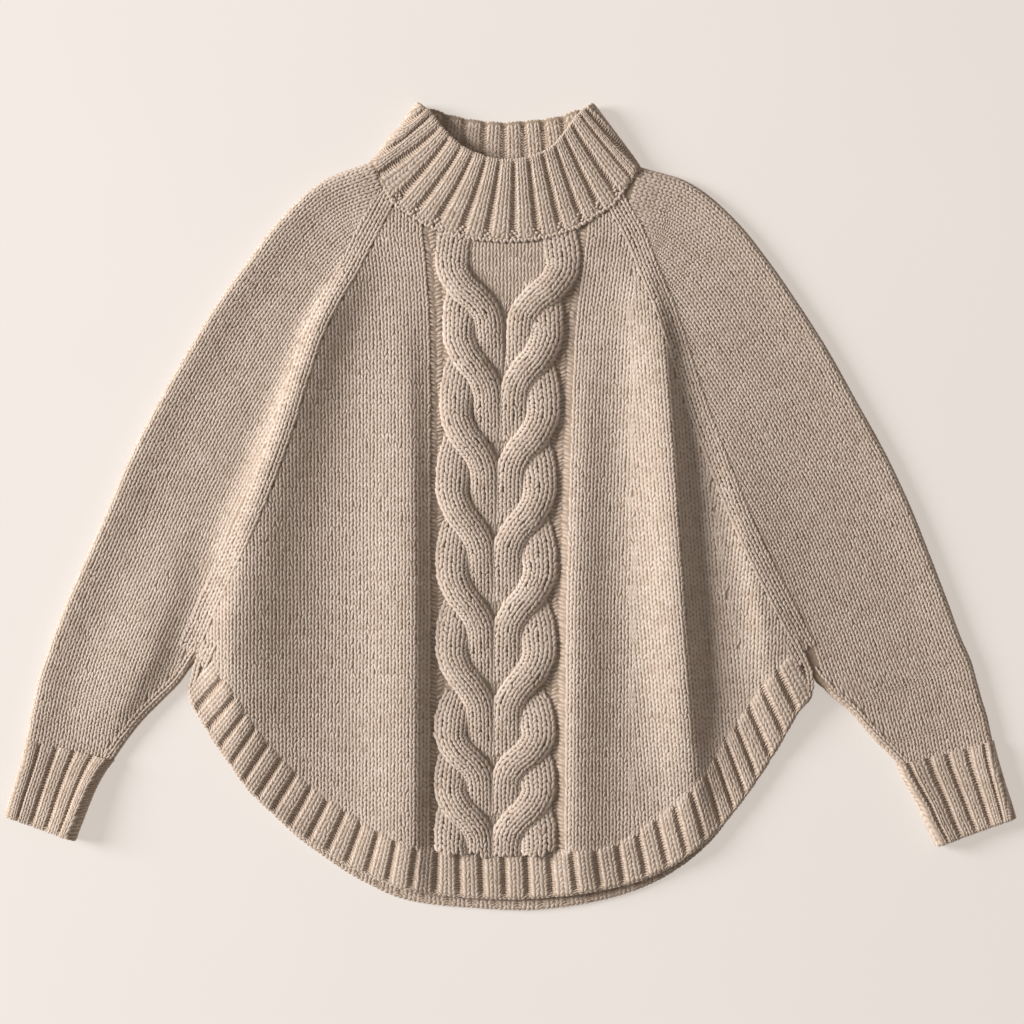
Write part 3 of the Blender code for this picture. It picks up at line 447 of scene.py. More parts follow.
# ---- heights of cloth
def fold_lift(x: Array, y: Array) -> Array:
    """Lift of the front layer by its folds and by the thick neck seam.

    Each fold adds height * exp(-(off/spread)^2), off being the distance from
    its crest and spread its own on each side; the neck adds
    NECK_LIFT * exp(-(away/NECK_REACH)^2).

    Args:
        x: Board x.
        y: Board y.

    Returns:
        Millimetres of lift.
    """
    lift = np.zeros(np.shape(x))
    for rows in FOLDS.values():
        crest, left, right, height = (read_x(rows, y, k) for k in (1, 2, 3, 4))
        off = x - crest
        spread = np.where(off < 0.0, left, right)
        lift = lift + height * np.exp(-((off / spread) ** 2))
    away = np.full(np.shape(x), 1e12)
    for nx, ny in at_x(NECK_FRONT, np.linspace(*NECK_ENDS, 31)):
        away = np.minimum(away, (x - nx) ** 2 + (y - ny) ** 2)
    return lift + NECK_LIFT * np.exp(-away / NECK_REACH ** 2)


def front_top(x: Array, y: Array) -> Array:
    """Height of the top of the front's plain cloth at board points."""
    return 2.0 * CLOTH + GAP + fold_lift(x, y)


def edge_puff(distance: Array, puff: float = EDGE_PUFF) -> Array:
    """Extra height of the upper layer at a distance from a folded edge."""
    return puff * np.exp(-((distance / EDGE_REACH) ** 2))


def strand_table(index: int, side: Side) -> Array:
    """Board x, y, half width and crest height along one strand of the cable."""
    meet = CABLE_MEETS[index]
    pitch = CABLE_PITCH
    if index + 1 < len(CABLE_MEETS):
        pitch = min(pitch, CABLE_MEETS[index + 1][1] - meet[1])
    wider = TOP_STRAND_WIDER if index == 0 else 1.0
    if side is Side.RIGHT:
        wider *= RIGHT_STRAND_WIDER
    rows = np.asarray(STRAND)
    x = meet[0] + side.value * wider * rows[:, 0]
    y = meet[1] + rows[:, 1] * pitch / CABLE_PITCH
    half = rows[:, 2] * (1.06 if side is Side.RIGHT else 1.0)
    crest = rows[:, 3]
    if index == 0:     # the first pair grows out of the plain knitting at the neck
        crest = crest * np.interp(rows[:, 1], [-94.0, -54.0, -20.0], [0.3, 0.5, 1.0])
    return np.stack((x, y, half, crest), axis=1)


def cable_relief(x: Array, y: Array) -> Pair:
    """Height of the cable over the plain cloth, and how well its strands cover it.

    The height is the highest of the domes crest * sqrt(1 - (off/(half-3))^2);
    the cover is the greatest of 1 - off/half, 0 outside all strands.
    """
    relief, cover = np.zeros(np.shape(x)), np.zeros(np.shape(x))
    for index in range(len(CABLE_MEETS)):
        for side in Side:
            rows = strand_table(index, side)
            for k, (a, b) in enumerate(zip(rows[:-1], rows[1:])):
                leg = b[:2] - a[:2]
                t = ((x - a[0]) * leg[0] + (y - a[1]) * leg[1]) / (leg @ leg)
                beyond = (t < 0.15) if k == 0 else (t > 0.7) & (k == len(rows) - 2)
                t = np.clip(t, 0.0, 1.0)
                off = np.hypot(x - a[0] - t * leg[0], y - a[1] - t * leg[1])
                half = a[2] + t * (b[2] - a[2])
                crest = a[3] + t * (b[3] - a[3])
                dome = np.sqrt(np.clip(1.0 - (off / (half - 3.0)) ** 2, 0.0, 1.0))
                relief = np.maximum(relief, crest * dome)
                cover = np.maximum(cover, np.where(beyond, 0.0, 1.0 - off / half))
    return relief, cover


def core_relief(x: Array, y: Array) -> Array:
    """Height of the core under the cable, and its dip under the purl columns.

    0.85 of the relief, less 0.8; the dip is PURL_DIP * exp(-(off/9)^2), off
    being the distance from a line 12 inside each edge of the plain knitting.
    """
    dip = np.zeros(np.shape(x))
    for column, inward in ((1, 12.0), (2, -12.0)):
        off = x - read_x(FIELD_EDGES, y, column) - inward
        dip = dip + PURL_DIP * np.exp(-((off / 9.0) ** 2))
    return np.maximum(cable_relief(x, y)[0] * 0.85 - 0.8, -dip)


# ---- lays
class Lay:
    """A surface that stitches are laid on, given by wale and course.

    raised() stands points off it along its normal, the cross product of its
    small steps down the courses and across the wales.
    """

    hand = 1.0
    step = 0.15

    def surface(self, wale: Array, course: Array) -> Array:
        """Millimetres from the origin, y up, for each wale and course."""
        raise NotImplementedError

    def plan(self, wale: Array, course: Array) -> Pair:
        """Board x and y of wales and courses."""
        world = self.surface(wale, course)
        return world[..., 0] + BOARD_CENTRE[0], BOARD_CENTRE[1] - world[..., 1]

    def raised(self, wale: Array, course: Array, height: Array) -> Array:
        """Points that stand off the surface by a height."""
        across = (self.surface(wale + self.step, course)
                  - self.surface(wale - self.step, course))
        down = (self.surface(wale, course + self.step)
                - self.surface(wale, course - self.step))
        normal = unit(np.cross(down, across)) * self.hand
        return self.surface(wale, course) + normal * height[..., None]


@dataclass
class FieldLay(Lay):
    """Plain knitting of the front: wales side by side along a guide.

    x = guide(y) + wale * WALE and y = course * COURSE.
    """

    guide: Rows
    column: int = 1
    lower: float = 0.0
    on_cable: bool = False

    def plan(self, wale: Array, course: Array) -> Pair:
        """Board x and y of wales and courses."""
        y = course * COURSE
        return read_x(self.guide, y, self.column) + wale * WALE, y

    def surface(self, wale: Array, course: Array) -> Array:
        """The front's plain cloth at these wales and courses."""
        x, y = self.plan(wale, course)
        z = front_top(x, y) - self.lower
        if self.on_cable:
            z = z + core_relief(x, y)
        return upright(np.stack((x, y, z), axis=-1))


@dataclass
class SeamLay(Lay):
    """Wales that run along a line of the front, numbered away from it.

    The point is line(s) + wale * spacing to the right of the line.
    """

    line: Line
    spacing: float = WALE
    lift: float = 0.0

    def plan(self, wale: Array, course: Array) -> Pair:
        """Board x and y of wales and courses."""
        s = course * COURSE
        way = self.line.heading(s)
        right = np.stack((-way[..., 1], way[..., 0]), axis=-1)
        xy = self.line.at(s) + right * (wale * self.spacing)[..., None]
        return xy[..., 0], xy[..., 1]

    def surface(self, wale: Array, course: Array) -> Array:
        """The front's cloth beside the line."""
        x, y = self.plan(wale, course)
        return upright(np.stack((x, y, front_top(x, y) + self.lift), axis=-1))

    @property
    def hand(self) -> float:
        """The wales are numbered to the right of the line, seen from above."""
        return -1.0


@dataclass
class SleeveLay(Lay):
    """Wales parallel to a sleeve's outer edge, numbered inward from it.

    At a length s down the edge and a distance d in over the cloth, the first
    quarter turn is a circle of the fold's radius r: inset r(1 - cos(d/r)),
    height r sin(d/r) above its middle. Past it the cloth lies over the back.
    """

    edge: Line
    side: Side
    puff: float

    @property
    def hand(self) -> float:
        """Wales are numbered to the right on the left sleeve, and back on the other."""
        return -self.side.value

    def inward(self, s: Array) -> Array:
        """Unit direction from the edge into the sleeve."""
        way = self.edge.heading(s)
        turn = -self.side.value
        return np.stack((way[..., 1], -way[..., 0]), axis=-1) * turn

    def surface(self, wale: Array, course: Array) -> Array:
        """The sleeve's cloth, round its folded edge and over its top."""
        s = course * COURSE
        rim = self.edge.at(s)
        top = front_top(rim[..., 0], rim[..., 1]) + self.puff
        radius = top / 2.0
        turn = np.clip(wale * SLEEVE_WALE / radius, -0.5 * math.pi, 0.5 * math.pi)
        beyond = wale * SLEEVE_WALE - 0.5 * math.pi * radius
        inset = radius * (1.0 - np.cos(turn)) + np.maximum(beyond, 0.0)
        inset = inset + np.maximum(-beyond - math.pi * radius, 0.0)
        xy = rim + self.inward(s) * inset[..., None]
        flat = front_top(xy[..., 0], xy[..., 1])
        flat = flat + edge_puff(np.maximum(beyond, 0.0), self.puff)
        z = np.where(beyond > 0.0, flat, radius * (1.0 + np.sin(turn)))
        return upright(np.concatenate((xy, z[..., None]), axis=-1))


class StrandLay(Lay):
    """One strand of the cable, four wales wide, over the front's cloth.

    Its middle follows the strand's table; across it the cloth is a dome,
    crest * sqrt(1 - (wale/2.1)^2), on the plain front.
    """

    def __init__(self, index: int, side: Side) -> None:
        """Measures one strand.

        Args:
            index: Number of the meeting point.
            side: Left or right strand.
        """
        table = along([tuple(row) for row in strand_table(index, side)],
                      np.linspace(0.0, 1.0, 160))
        self.line = Line([tuple(row) for row in table[:, :2]], 160)
        share = np.linspace(0.0, self.line.length, len(table))
        self.half = (share, table[:, 2])
        self.crest = (share, table[:, 3])
        self.courses = self.line.length / COURSE

    def surface(self, wale: Array, course: Array) -> Array:
        """The strand's domed cloth."""
        s = course * COURSE
        way = self.line.heading(s)
        right = np.stack((way[..., 1], -way[..., 0]), axis=-1)
        half = np.interp(s, *self.half)
        crest = np.interp(s, *self.crest)
        xy = self.line.at(s) + right * (wale * 0.5 * half)[..., None]
        dome = np.sqrt(np.clip(1.0 - (wale / 2.1) ** 2, 0.0, 1.0))
        z = front_top(xy[..., 0], xy[..., 1]) + crest * dome - 0.4
        return upright(np.concatenate((xy, z[..., None]), axis=-1))


class GridLay(Lay):
    """A ribbed surface read from a grid of points by rib and course.

    The grid's columns are placed by their share of the width, and the troughs
    table says at what share each rib begins at the two ends of the piece.
    """

    step = 0.06

    def __init__(self, grid: Array, shares: Array, troughs: Rows,
                 length_rows: float, hand: float = 1.0) -> None:
        """Keeps the grid and its ribs, and measures its rows in courses.

        Args:
            grid: Points in rows along the ribs and columns across, in mm.
            shares: Increasing share of the width of each column.
            troughs: Number of the trough, share at the last and first row.
            length_rows: Rows from the first end to the other.
            hand: 1 or -1, to turn the normal outward.
        """
        self.grid = grid
        self.shares = shares
        self.troughs = np.asarray(troughs)
        self.length_rows = length_rows
        self.hand = hand
        self.rows = np.arange(float(len(grid)))
        steps = np.linalg.norm(np.diff(grid, axis=0), axis=-1).mean(axis=1)
        self.run = np.concatenate(([0.0], np.cumsum(steps))) / COURSE

    def course_of(self, row: float) -> float:
        """The course at a grid row."""
        return float(np.interp(row, self.rows, self.run))

    def share(self, rib: Array, row: Array) -> Array:
        """Share of the width of a rib number at a grid row."""
        t = np.clip(row / self.length_rows, 0.0, 1.0)
        last = np.interp(rib, self.troughs[:, 0], self.troughs[:, 1])
        first = np.interp(rib, self.troughs[:, 0], self.troughs[:, 2])
        return first + (last - first) * t

    def covered(self, wale: Array, course: Array) -> Pair:
        """The wales and courses that lie well within the grid's width."""
        at = self.share(wale, np.interp(course, self.run, self.rows))
        inside = (at > self.shares[0] + 0.006) & (at < self.shares[-1] - 0.006)
        return wale[inside], course[inside]

    def surface(self, wale: Array, course: Array) -> Array:
        """The grid's surface between its four nearest points."""
        row = np.clip(np.interp(course, self.run, self.rows), 0.0, len(self.grid) - 1.001)
        at = self.share(wale, row)
        column = np.interp(at, self.shares, np.arange(len(self.shares)))
        column = np.clip(column, 0.0, len(self.shares) - 1.001)
        i, j = row.astype(int), column.astype(int)
        v, u = (row - i)[..., None], (column - j)[..., None]
        g = self.grid
        low = g[i, j] * (1.0 - u) + g[i, j + 1] * u
        high = g[i + 1, j] * (1.0 - u) + g[i + 1, j + 1] * u
        return low * (1.0 - v) + high * v


# ---- strands
@dataclass(frozen=True)
class StrandShape:
    """A short strand of wool as a half tube, tapered to a point at both ends.

    Its points are wale, course and height. Rings of four points stand across
    the strand at the given courses; the ends are single points.
    """

    courses: tuple[float, ...] = (-0.74, -0.38, 0.0, 0.38, 0.74)
    widths: tuple[float, ...] = (0.0, 0.215, 0.245, 0.215, 0.0)
    heights: tuple[float, ...] = (0.03, 0.41, 0.47, 0.37, -0.04)
    foot: float = -0.2

    def middle(self) -> Array:
        """Wale of the strand's middle at each of its courses."""
        return np.zeros(len(self.courses))

    def points(self) -> tuple[Array, Array, Array]:
        """Points, their painted shade from foot to crest, and place across and along."""
        across = np.array([-1.0, -0.5, 0.5, 1.0])
        rise = np.array([0.0, 0.92, 0.92, 0.0])
        middle = self.middle()
        rows = [(middle[0], self.courses[0], self.heights[0])]
        shade, place = [0.25], [(0.5, self.courses[0])]
        for k in range(1, len(self.courses) - 1):
            for a, r in zip(across, rise):
                rows.append((
                    middle[k] + a * self.widths[k], self.courses[k],
                    self.foot + (self.heights[k] - self.foot) * r,
                ))
                # Painted shade: the value falls from crest to foot, and the strand's colour
                # darkens with it.
                shade.append(0.12 + 0.88 * r * (0.72 + 0.28 * (k == 2)))
                place.append((0.5 + 0.5 * a, self.courses[k]))
        rows.append((middle[-1], self.courses[-1], self.heights[-1]))
        shade.append(0.15)
        place.append((0.5, self.courses[-1]))
        return np.array(rows), np.array(shade), np.array(place)

    def faces(self) -> Pair:
        """Four-sided and three-sided faces between the points."""
        rings = len(self.courses) - 2
        last = 1 + 4 * rings
        quads, tris = [], []
        for j in range(3):
            tris.append((0, 1 + j, 2 + j))
            foot = 1 + 4 * (rings - 1)
            tris.append((last, foot + j + 1, foot + j))
            for k in range(rings - 1):
                a = 1 + 4 * k + j
                quads.append((a, a + 4, a + 5, a + 1))
        return np.array(quads), np.array(tris)


@dataclass(frozen=True)
class LeaningStrand(StrandShape):
    """One leg of a knit stitch: the middle goes from near to far as it rises."""

    near: float = 0.12
    far: float = 0.38
    sign: float = 1.0

    def middle(self) -> Array:
        """The leg's middle leans out evenly from its lower end to its upper."""
        c = np.array(self.courses)
        share = (c - c[0]) / (c[-1] - c[0])
        return self.sign * (self.far + (self.near - self.far) * share)


@dataclass(frozen=True)
class StitchShape:
    """Several strands that are laid together as one stitch."""

    strands: tuple[StrandShape, ...]
    turned: bool = False

    def build(self) -> tuple[Array, ...]:
        """Points, shade, place, four-sided faces and three-sided faces.

        A turned stitch lies across the wale: wale and course change places.
        """
        points, shade, place, quads, tris = [], [], [], [], []
        count = 0
        for strand in self.strands:
            p, s, w = strand.points()
            q, t = strand.faces()
            points.append(p)
            shade.append(s)
            place.append(w)
            quads.append(q + count)
            tris.append(t + count)
            count += len(p)
        rows = np.concatenate(points)
        four, three = np.concatenate(quads), np.concatenate(tris)
        if self.turned:
            rows = rows[:, [1, 0, 2]]
            four, three = four[:, ::-1], three[:, ::-1]
        return rows, np.concatenate(shade), np.concatenate(place), four, three


KNIT = StitchShape((LeaningStrand(sign=-1.0), LeaningStrand(sign=1.0)))
PURL = StitchShape((
    StrandShape(courses=(-0.5, -0.2, 0.2, 0.5), widths=(0.0, 0.3, 0.3, 0.0),
                heights=(-0.6, 1.0, 1.0, -0.6), foot=-0.6),
), turned=True)
SLANTED = {
    "courses": (-0.62, -0.3, 0.0, 0.3, 0.62), "widths": (0.0, 0.27, 0.32, 0.27, 0.0),
    "heights": (-0.3, 0.75, 1.0, 0.75, -0.3),
}
PURL_UP = StitchShape((LeaningStrand(**SLANTED, near=-0.3, far=0.3),), turned=True)
PURL_DOWN = StitchShape((LeaningStrand(**SLANTED, near=0.3, far=-0.3),), turned=True)
CHAIN_IN = StitchShape((LeaningStrand(**SLANTED, near=-0.22, far=0.22),))
CHAIN_OUT = StitchShape((LeaningStrand(**SLANTED, near=0.22, far=-0.22),))
BUMP = StitchShape((StrandShape(
    courses=(-0.55, -0.25, 0.25, 0.55), widths=(0.0, 0.24, 0.24, 0.0),
    heights=(-0.7, 1.2, 1.2, -0.7), foot=-0.7),))


class StitchWork:
    """Gathers the strands of one piece and makes them one mesh."""

    def __init__(self, name: str, seed: int) -> None:
        """Starts an empty piece.

        Args:
            name: The piece's name.
            seed: Starts its own random numbers.
        """
        self.name = name
        self.random = np.random.default_rng(seed)
        self.parts: list[tuple[Array, ...]] = []
        self.count = 0
        self.stitches = 0

    def heather(self, wale: Array, course: Array) -> Array:
        """Tone of each stitch, drifting along the yarn, which runs along a course.

        Half is a slow sum of sines of the wale with a phase of its own for
        each course, half is each stitch's own.
        """
        row = np.round(course).astype(int)
        phase = np.random.default_rng(7).uniform(0.0, 6.283, (997, 3))[np.abs(row) % 997]
        drift = (np.sin(wale * 0.9 + phase[:, 0]) + np.sin(wale * 0.37 + phase[:, 1])
                 + np.sin(wale * 2.1 + phase[:, 2])) / 3.0
        return 0.55 * drift + 0.45 * self.random.normal(0.0, 1.0, len(wale))

    def lay(self, lay: Lay, shape: StitchShape, wale: Array, course: Array,
            wide: float = 1.0, long: float = 1.0, high: float = 1.0,
            loose: float = 1.0, painted_shade_deep: float = 1.0) -> None:
        """Lays one stitch at each given wale and course.

        Args:
            lay: The surface.
            shape: What is laid.
            wale: Middle of each stitch across.
            course: Middle of each stitch along.
            wide: Scale across, in wales.
            long: Scale along, in courses.
            high: Scale of the height.
            loose: How uneven the stitches are; 1 is hand knitting.
            painted_shade_deep: Share of the shade value kept; less paints the stitches darker,
                as painted shade for stitches sunk in a trough.
        """
        if not len(wale):
            return
        rows, shade, place, quads, tris = shape.build()
        n, m = len(wale), len(rows)
        normal = self.random.normal
        jog = normal(0.0, 0.035 * loose, (n, 2))
        wide_by = wide * (1.0 + normal(0.0, 0.06 * loose, (n, 1)))
        long_by = long * (1.0 + normal(0.0, 0.05 * loose, (n, 1)))
        high_by = high * (1.0 + normal(0.0, 0.10 * loose, (n, 1)))
        lean = normal(0.0, 0.05 * loose, (n, 1))
        p = wale[:, None] + wide_by * (rows[None, :, 0] + lean * rows[None, :, 1] + jog[:, :1])
        q = course[:, None] + long_by * (rows[None, :, 1] + jog[:, 1:])
        points = lay.raised(p, q, rows[None, :, 2] * high_by)
        tone = np.repeat(self.heather(wale, course), m)
        start = self.random.uniform(0.0, 400.0, (n, 1))
        u = place[None, :, 0] * 3.5 + start * 0.37
        v = place[None, :, 1] * COURSE + start
        shift = (np.arange(n) * m)[:, None, None] + self.count
        # Painted shade: the shade value, scaled down in troughs, darkens each strand toward a
        # darker colour.
        self.parts.append((
            points.reshape(-1, 3), np.tile(shade * painted_shade_deep, n), tone,
            np.stack((u, v), axis=-1).reshape(-1, 2),
            (quads[None] + shift).reshape(-1, 4), (tris[None] + shift).reshape(-1, 3),
        ))
        self.count += n * m
        self.stitches += n

    def build(self, material: Material) -> Object:
        """Makes the piece's mesh.

        Args:
            material: The wool of the strands.

        Returns:
            The new object, with tone, painted shade and a yarn UV map.
        """
        points, shade, tone, uv, quads, tris = (
            np.concatenate([part[k] for part in self.parts]) for k in range(6)
        )
        mesh = mesh_from(self.name, points, [quads, tris])
        add_values(mesh, "shade", shade)
        add_values(mesh, "tone", tone)
        add_uv(mesh, "yarn", uv)
        mesh.materials.append(material)
        LOG.info("%s: %d stitches, %d triangles", self.name, self.stitches,
                 2 * len(quads) + len(tris))
        return placed(self.name, mesh)


# ---- meshes
def placed(name: str, data: bpy.types.ID) -> Object:
    """A new object with its data, in the scene."""
    thing = bpy.data.objects.new(name, data)
    bpy.context.scene.collection.objects.link(thing)
    return thing


def mesh_from(name: str, points_mm: Array, groups: list[Array]) -> bpy.types.Mesh:
    """A smooth mesh from points and groups of equal-sided faces.

    Args:
        name: Name of the mesh.
        points_mm: Points in millimetres from the origin.
        groups: Arrays of faces, each with its own number of corners.

    Returns:
        The mesh, in metres.
    """
    mesh = bpy.data.meshes.new(name)
    mesh.vertices.add(len(points_mm))
    mesh.vertices.foreach_set("co", (points_mm * MM).astype(np.float32).ravel())
    groups = [group for group in groups if len(group)]
    corners = np.concatenate([group.ravel() for group in groups]).astype(np.int32)
    sizes = np.concatenate([np.full(len(group), group.shape[1]) for group in groups])
    starts = np.concatenate(([0], np.cumsum(sizes)[:-1])).astype(np.int32)
    mesh.loops.add(len(corners))
    mesh.loops.foreach_set("vertex_index", corners)
    mesh.polygons.add(len(sizes))
    mesh.polygons.foreach_set("loop_start", starts)
    mesh.polygons.foreach_set("use_smooth", np.ones(len(sizes), bool))
    mesh.update(calc_edges=True)
    return mesh


def add_values(mesh: bpy.types.Mesh, name: str, values: Array) -> None:
    """Gives each point of a mesh a number of its own."""
    layer = mesh.attributes.new(name, "FLOAT", "POINT")
    layer.data.foreach_set("value", values.astype(np.float32))


def add_uv(mesh: bpy.types.Mesh, name: str, uv: Array) -> None:
    """Gives a mesh a UV map with one place for each of its points."""
    corners = np.empty(len(mesh.loops), np.int32)
    mesh.loops.foreach_get("vertex_index", corners)
    layer = mesh.uv_layers.new(name=name)
    layer.uv.foreach_set("vector", uv[corners].astype(np.float32).ravel())


@dataclass
class ClothWall:
    """A closed wall of knitted cloth between an outer and an inner grid.

    Both grids have the same rows and columns, in millimetres from the
    origin. A wrapped wall joins its last column to its first.
    """

    name: str
    outer: Array
    inner: Array
    wrap: bool = False

    def faces(self) -> Pair:
        """Four-sided faces that point outward, and which of them are inner."""
        rows, columns = self.outer.shape[:2]
        index = np.arange(rows * columns).reshape(rows, columns)
        if self.wrap:
            index = np.concatenate((index, index[:, :1]), axis=1)
        a, b = index[:-1, :-1], index[:-1, 1:]
        c, d = index[1:, 1:], index[1:, :-1]
        outer = np.stack((a, b, c, d), axis=-1).reshape(-1, 4)
        shift = rows * columns
        inner = outer[:, ::-1] + shift
        rims = [self.rim(index[0][::-1], shift), self.rim(index[-1], shift)]
        if not self.wrap:
            rims += [self.rim(index[:, 0], shift), self.rim(index[:, -1][::-1], shift)]
        rim = np.concatenate(rims)
        faces = np.concatenate((outer, inner, rim))
        kind = np.concatenate((np.zeros(len(outer)), np.ones(len(inner)), np.zeros(len(rim))))
        return faces, kind.astype(int)

    @staticmethod
    def rim(edge: Array, shift: int) -> Array:
        """Faces from one open edge of the outer grid to the inner grid's."""
        return np.stack((edge[:-1], edge[1:], edge[1:] + shift, edge[:-1] + shift), axis=-1)

    def build(self, core: Material, under: Material) -> Object:
        """Makes the wall's mesh.

        Args:
            core: Wool between the strands, coloured darker as painted shade, on the outer side
                and the rims.
            under: Knitted wool of the sides that have no strands of their own.

        Returns:
            The new object, with a knit UV map in wales and courses.
        """
        points = np.concatenate((self.outer.reshape(-1, 3), self.inner.reshape(-1, 3)))
        faces, kind = self.faces()
        a, b, c, d = (points[faces[:, k]] for k in range(4))
        volume = (a * (np.cross(b, c) + np.cross(c, d))).sum()
        if volume < 0.0:
            faces = faces[:, ::-1]
        low = points[faces].mean(axis=1)[:, 2] < 0.6
        mesh = mesh_from(self.name, points, [faces])
        both = (self.measure(self.outer), self.measure(self.inner))
        add_uv(mesh, "knit", np.concatenate(both))
        mesh.materials.append(core)
        mesh.materials.append(under)
        mesh.polygons.foreach_set("material_index", np.where(low, 1, kind).astype(np.int32))
        mesh.set_sharp_from_angle(angle=math.radians(60.0))
        LOG.info("%s: %d triangles", self.name, 2 * len(faces))
        return placed(self.name, mesh)

    @staticmethod
    def measure(grid: Array) -> Array:
        """Wales across and courses along, for each point of a grid."""
        across = np.linalg.norm(np.diff(grid, axis=1), axis=-1).mean(axis=0)
        down = np.linalg.norm(np.diff(grid, axis=0), axis=-1).mean(axis=1)
        u = np.concatenate(([0.0], np.cumsum(across))) / WALE
        v = np.concatenate(([0.0], np.cumsum(down))) / COURSE
        return np.stack(np.broadcast_arrays(u[None], v[:, None]), axis=-1).reshape(-1, 2)


def rolled_edge(outer: Array, inner: Array, steps: int = 5) -> Pair:
    """Rounds the last row of a wall's two grids over to meet each other.

    With m the middle between the last points, r half their distance and e the
    way the wall runs, the new points are m +- (p - m) cos a + e r sin a, a
    going from 0 to a quarter turn on each side.

    Args:
        outer: Outer grid, in rows that end at the edge.
        inner: Inner grid, with as many rows.
        steps: Rows added to each.

    Returns:
        The two grids with their new rows.
    """
    middle = 0.5 * (outer[-1] + inner[-1])
    radius = 0.5 * np.linalg.norm(outer[-1] - inner[-1], axis=-1, keepdims=True)
    onward = unit(0.5 * (outer[-1] + inner[-1]) - 0.5 * (outer[-3] + inner[-3]))
    turns = np.linspace(0.0, 0.5 * math.pi, steps + 1)[1:] * 0.985
    sides = []
    for grid in (outer, inner):
        arm = grid[-1] - middle
        new = [middle + arm * math.cos(a) + onward * radius * math.sin(a) for a in turns]
        sides.append(np.concatenate((grid, np.array(new))))
    return sides[0], sides[1]


def rib_height(rib: Array, ridge: float, trough: float | Array) -> Array:
    """Thickness of ribbing: steep sided, flat topped ribs between whole numbers.

    With w = |sin(pi rib)|, the share of the ridge is min(1, w/0.62)^1.3.
    """
    share = np.clip(np.abs(np.sin(math.pi * rib)) / 0.62, 0.0, 1.0) ** 1.3
    return trough + (ridge - trough) * share


def trough_height(t: Array, ridge: float, trough: float, start: float = 0.90) -> Array:
    """Thickness in the troughs, which rise to 0.8 of the ridge at the bound edge.

    With u = (t - start)/(1 - start) kept from 0 to 1, the rise is u^2 (3 - 2u).
    """
    u = np.clip((t - start) / (1.0 - start), 0.0, 1.0)
    return trough + (0.8 * ridge - trough) * u * u * (3.0 - 2.0 * u)


def rib_number(share: Array, t: Array, troughs: Rows) -> Array:
    """Rib number at shares of the width, for rows t from 0, first, to 1, last."""
    table = np.asarray(troughs)
    rows = []
    for row_share, row_t in zip(share, t):
        at = table[:, 2] + (table[:, 1] - table[:, 2]) * row_t
        rows.append(np.interp(row_share, at, table[:, 0]))
    return np.array(rows)


# ---- finishes
def linear(hex_colour: str) -> tuple[float, float, float, float]:
    """An sRGB hex colour as linear red, green, blue and one."""
    parts = [int(hex_colour[k:k + 2], 16) / 255.0 for k in (0, 2, 4)]
    return (*[c / 12.92 if c <= 0.04045 else ((c + 0.055) / 1.055) ** 2.4 for c in parts], 1.0)


def node(tree: NodeTree, kind: str, links: dict[int | str, object] | None = None,
         **settings: object) -> bpy.types.Node:
    """Adds a node with its settings and what goes into it.

    Args:
        tree: The material's or world's nodes.
        kind: Blender's name of the node, after "ShaderNode".
        links: For each input, an output socket or a plain value.
        **settings: Attributes of the node.

    Returns:
        The new node.
    """
    made = tree.nodes.new("ShaderNode" + kind)
    for name, value in settings.items():
        setattr(made, name, value)
    for name, value in (links or {}).items():
        if isinstance(value, bpy.types.NodeSocket):
            tree.links.new(value, made.inputs[name])
        else:
            made.inputs[name].default_value = value
    return made


def maths(tree: NodeTree, operation: str, *values: object) -> bpy.types.NodeSocket:
    """The result of a Math node on sockets and plain values."""
    return node(tree, "Math", dict(enumerate(values)), operation=operation).outputs[0]


def new_material(name: str) -> tuple[Material, NodeTree, bpy.types.Node]:
    """A material with its nodes and its shader."""
    material = bpy.data.materials.new(name)
    material.use_nodes = True
    return material, material.node_tree, material.node_tree.nodes["Principled BSDF"]


def set_inputs(shader: bpy.types.Node, **values: object) -> None:
    """Sets the shader's own sockets; an underscore stands for a space."""
    for name, value in values.items():
        shader.inputs[name.replace("_", " ")].default_value = value


def ramp_between(tree: NodeTree, amount: bpy.types.NodeSocket,
                 low: tuple[float, str], high: tuple[float, str]) -> bpy.types.Node:
    """A colour ramp from one hex colour to another.

    Args:
        tree: The material's nodes.
        amount: What the ramp reads.
        low: Position and hex colour of its first stop.
        high: Position and hex colour of its last stop.

    Returns:
        The ramp.
    """
    ramp = node(tree, "ValToRGB", {"Fac": amount})
    for stop, (position, colour) in zip(ramp.color_ramp.elements, (low, high)):
        stop.position, stop.color = position, linear(colour)
    return ramp


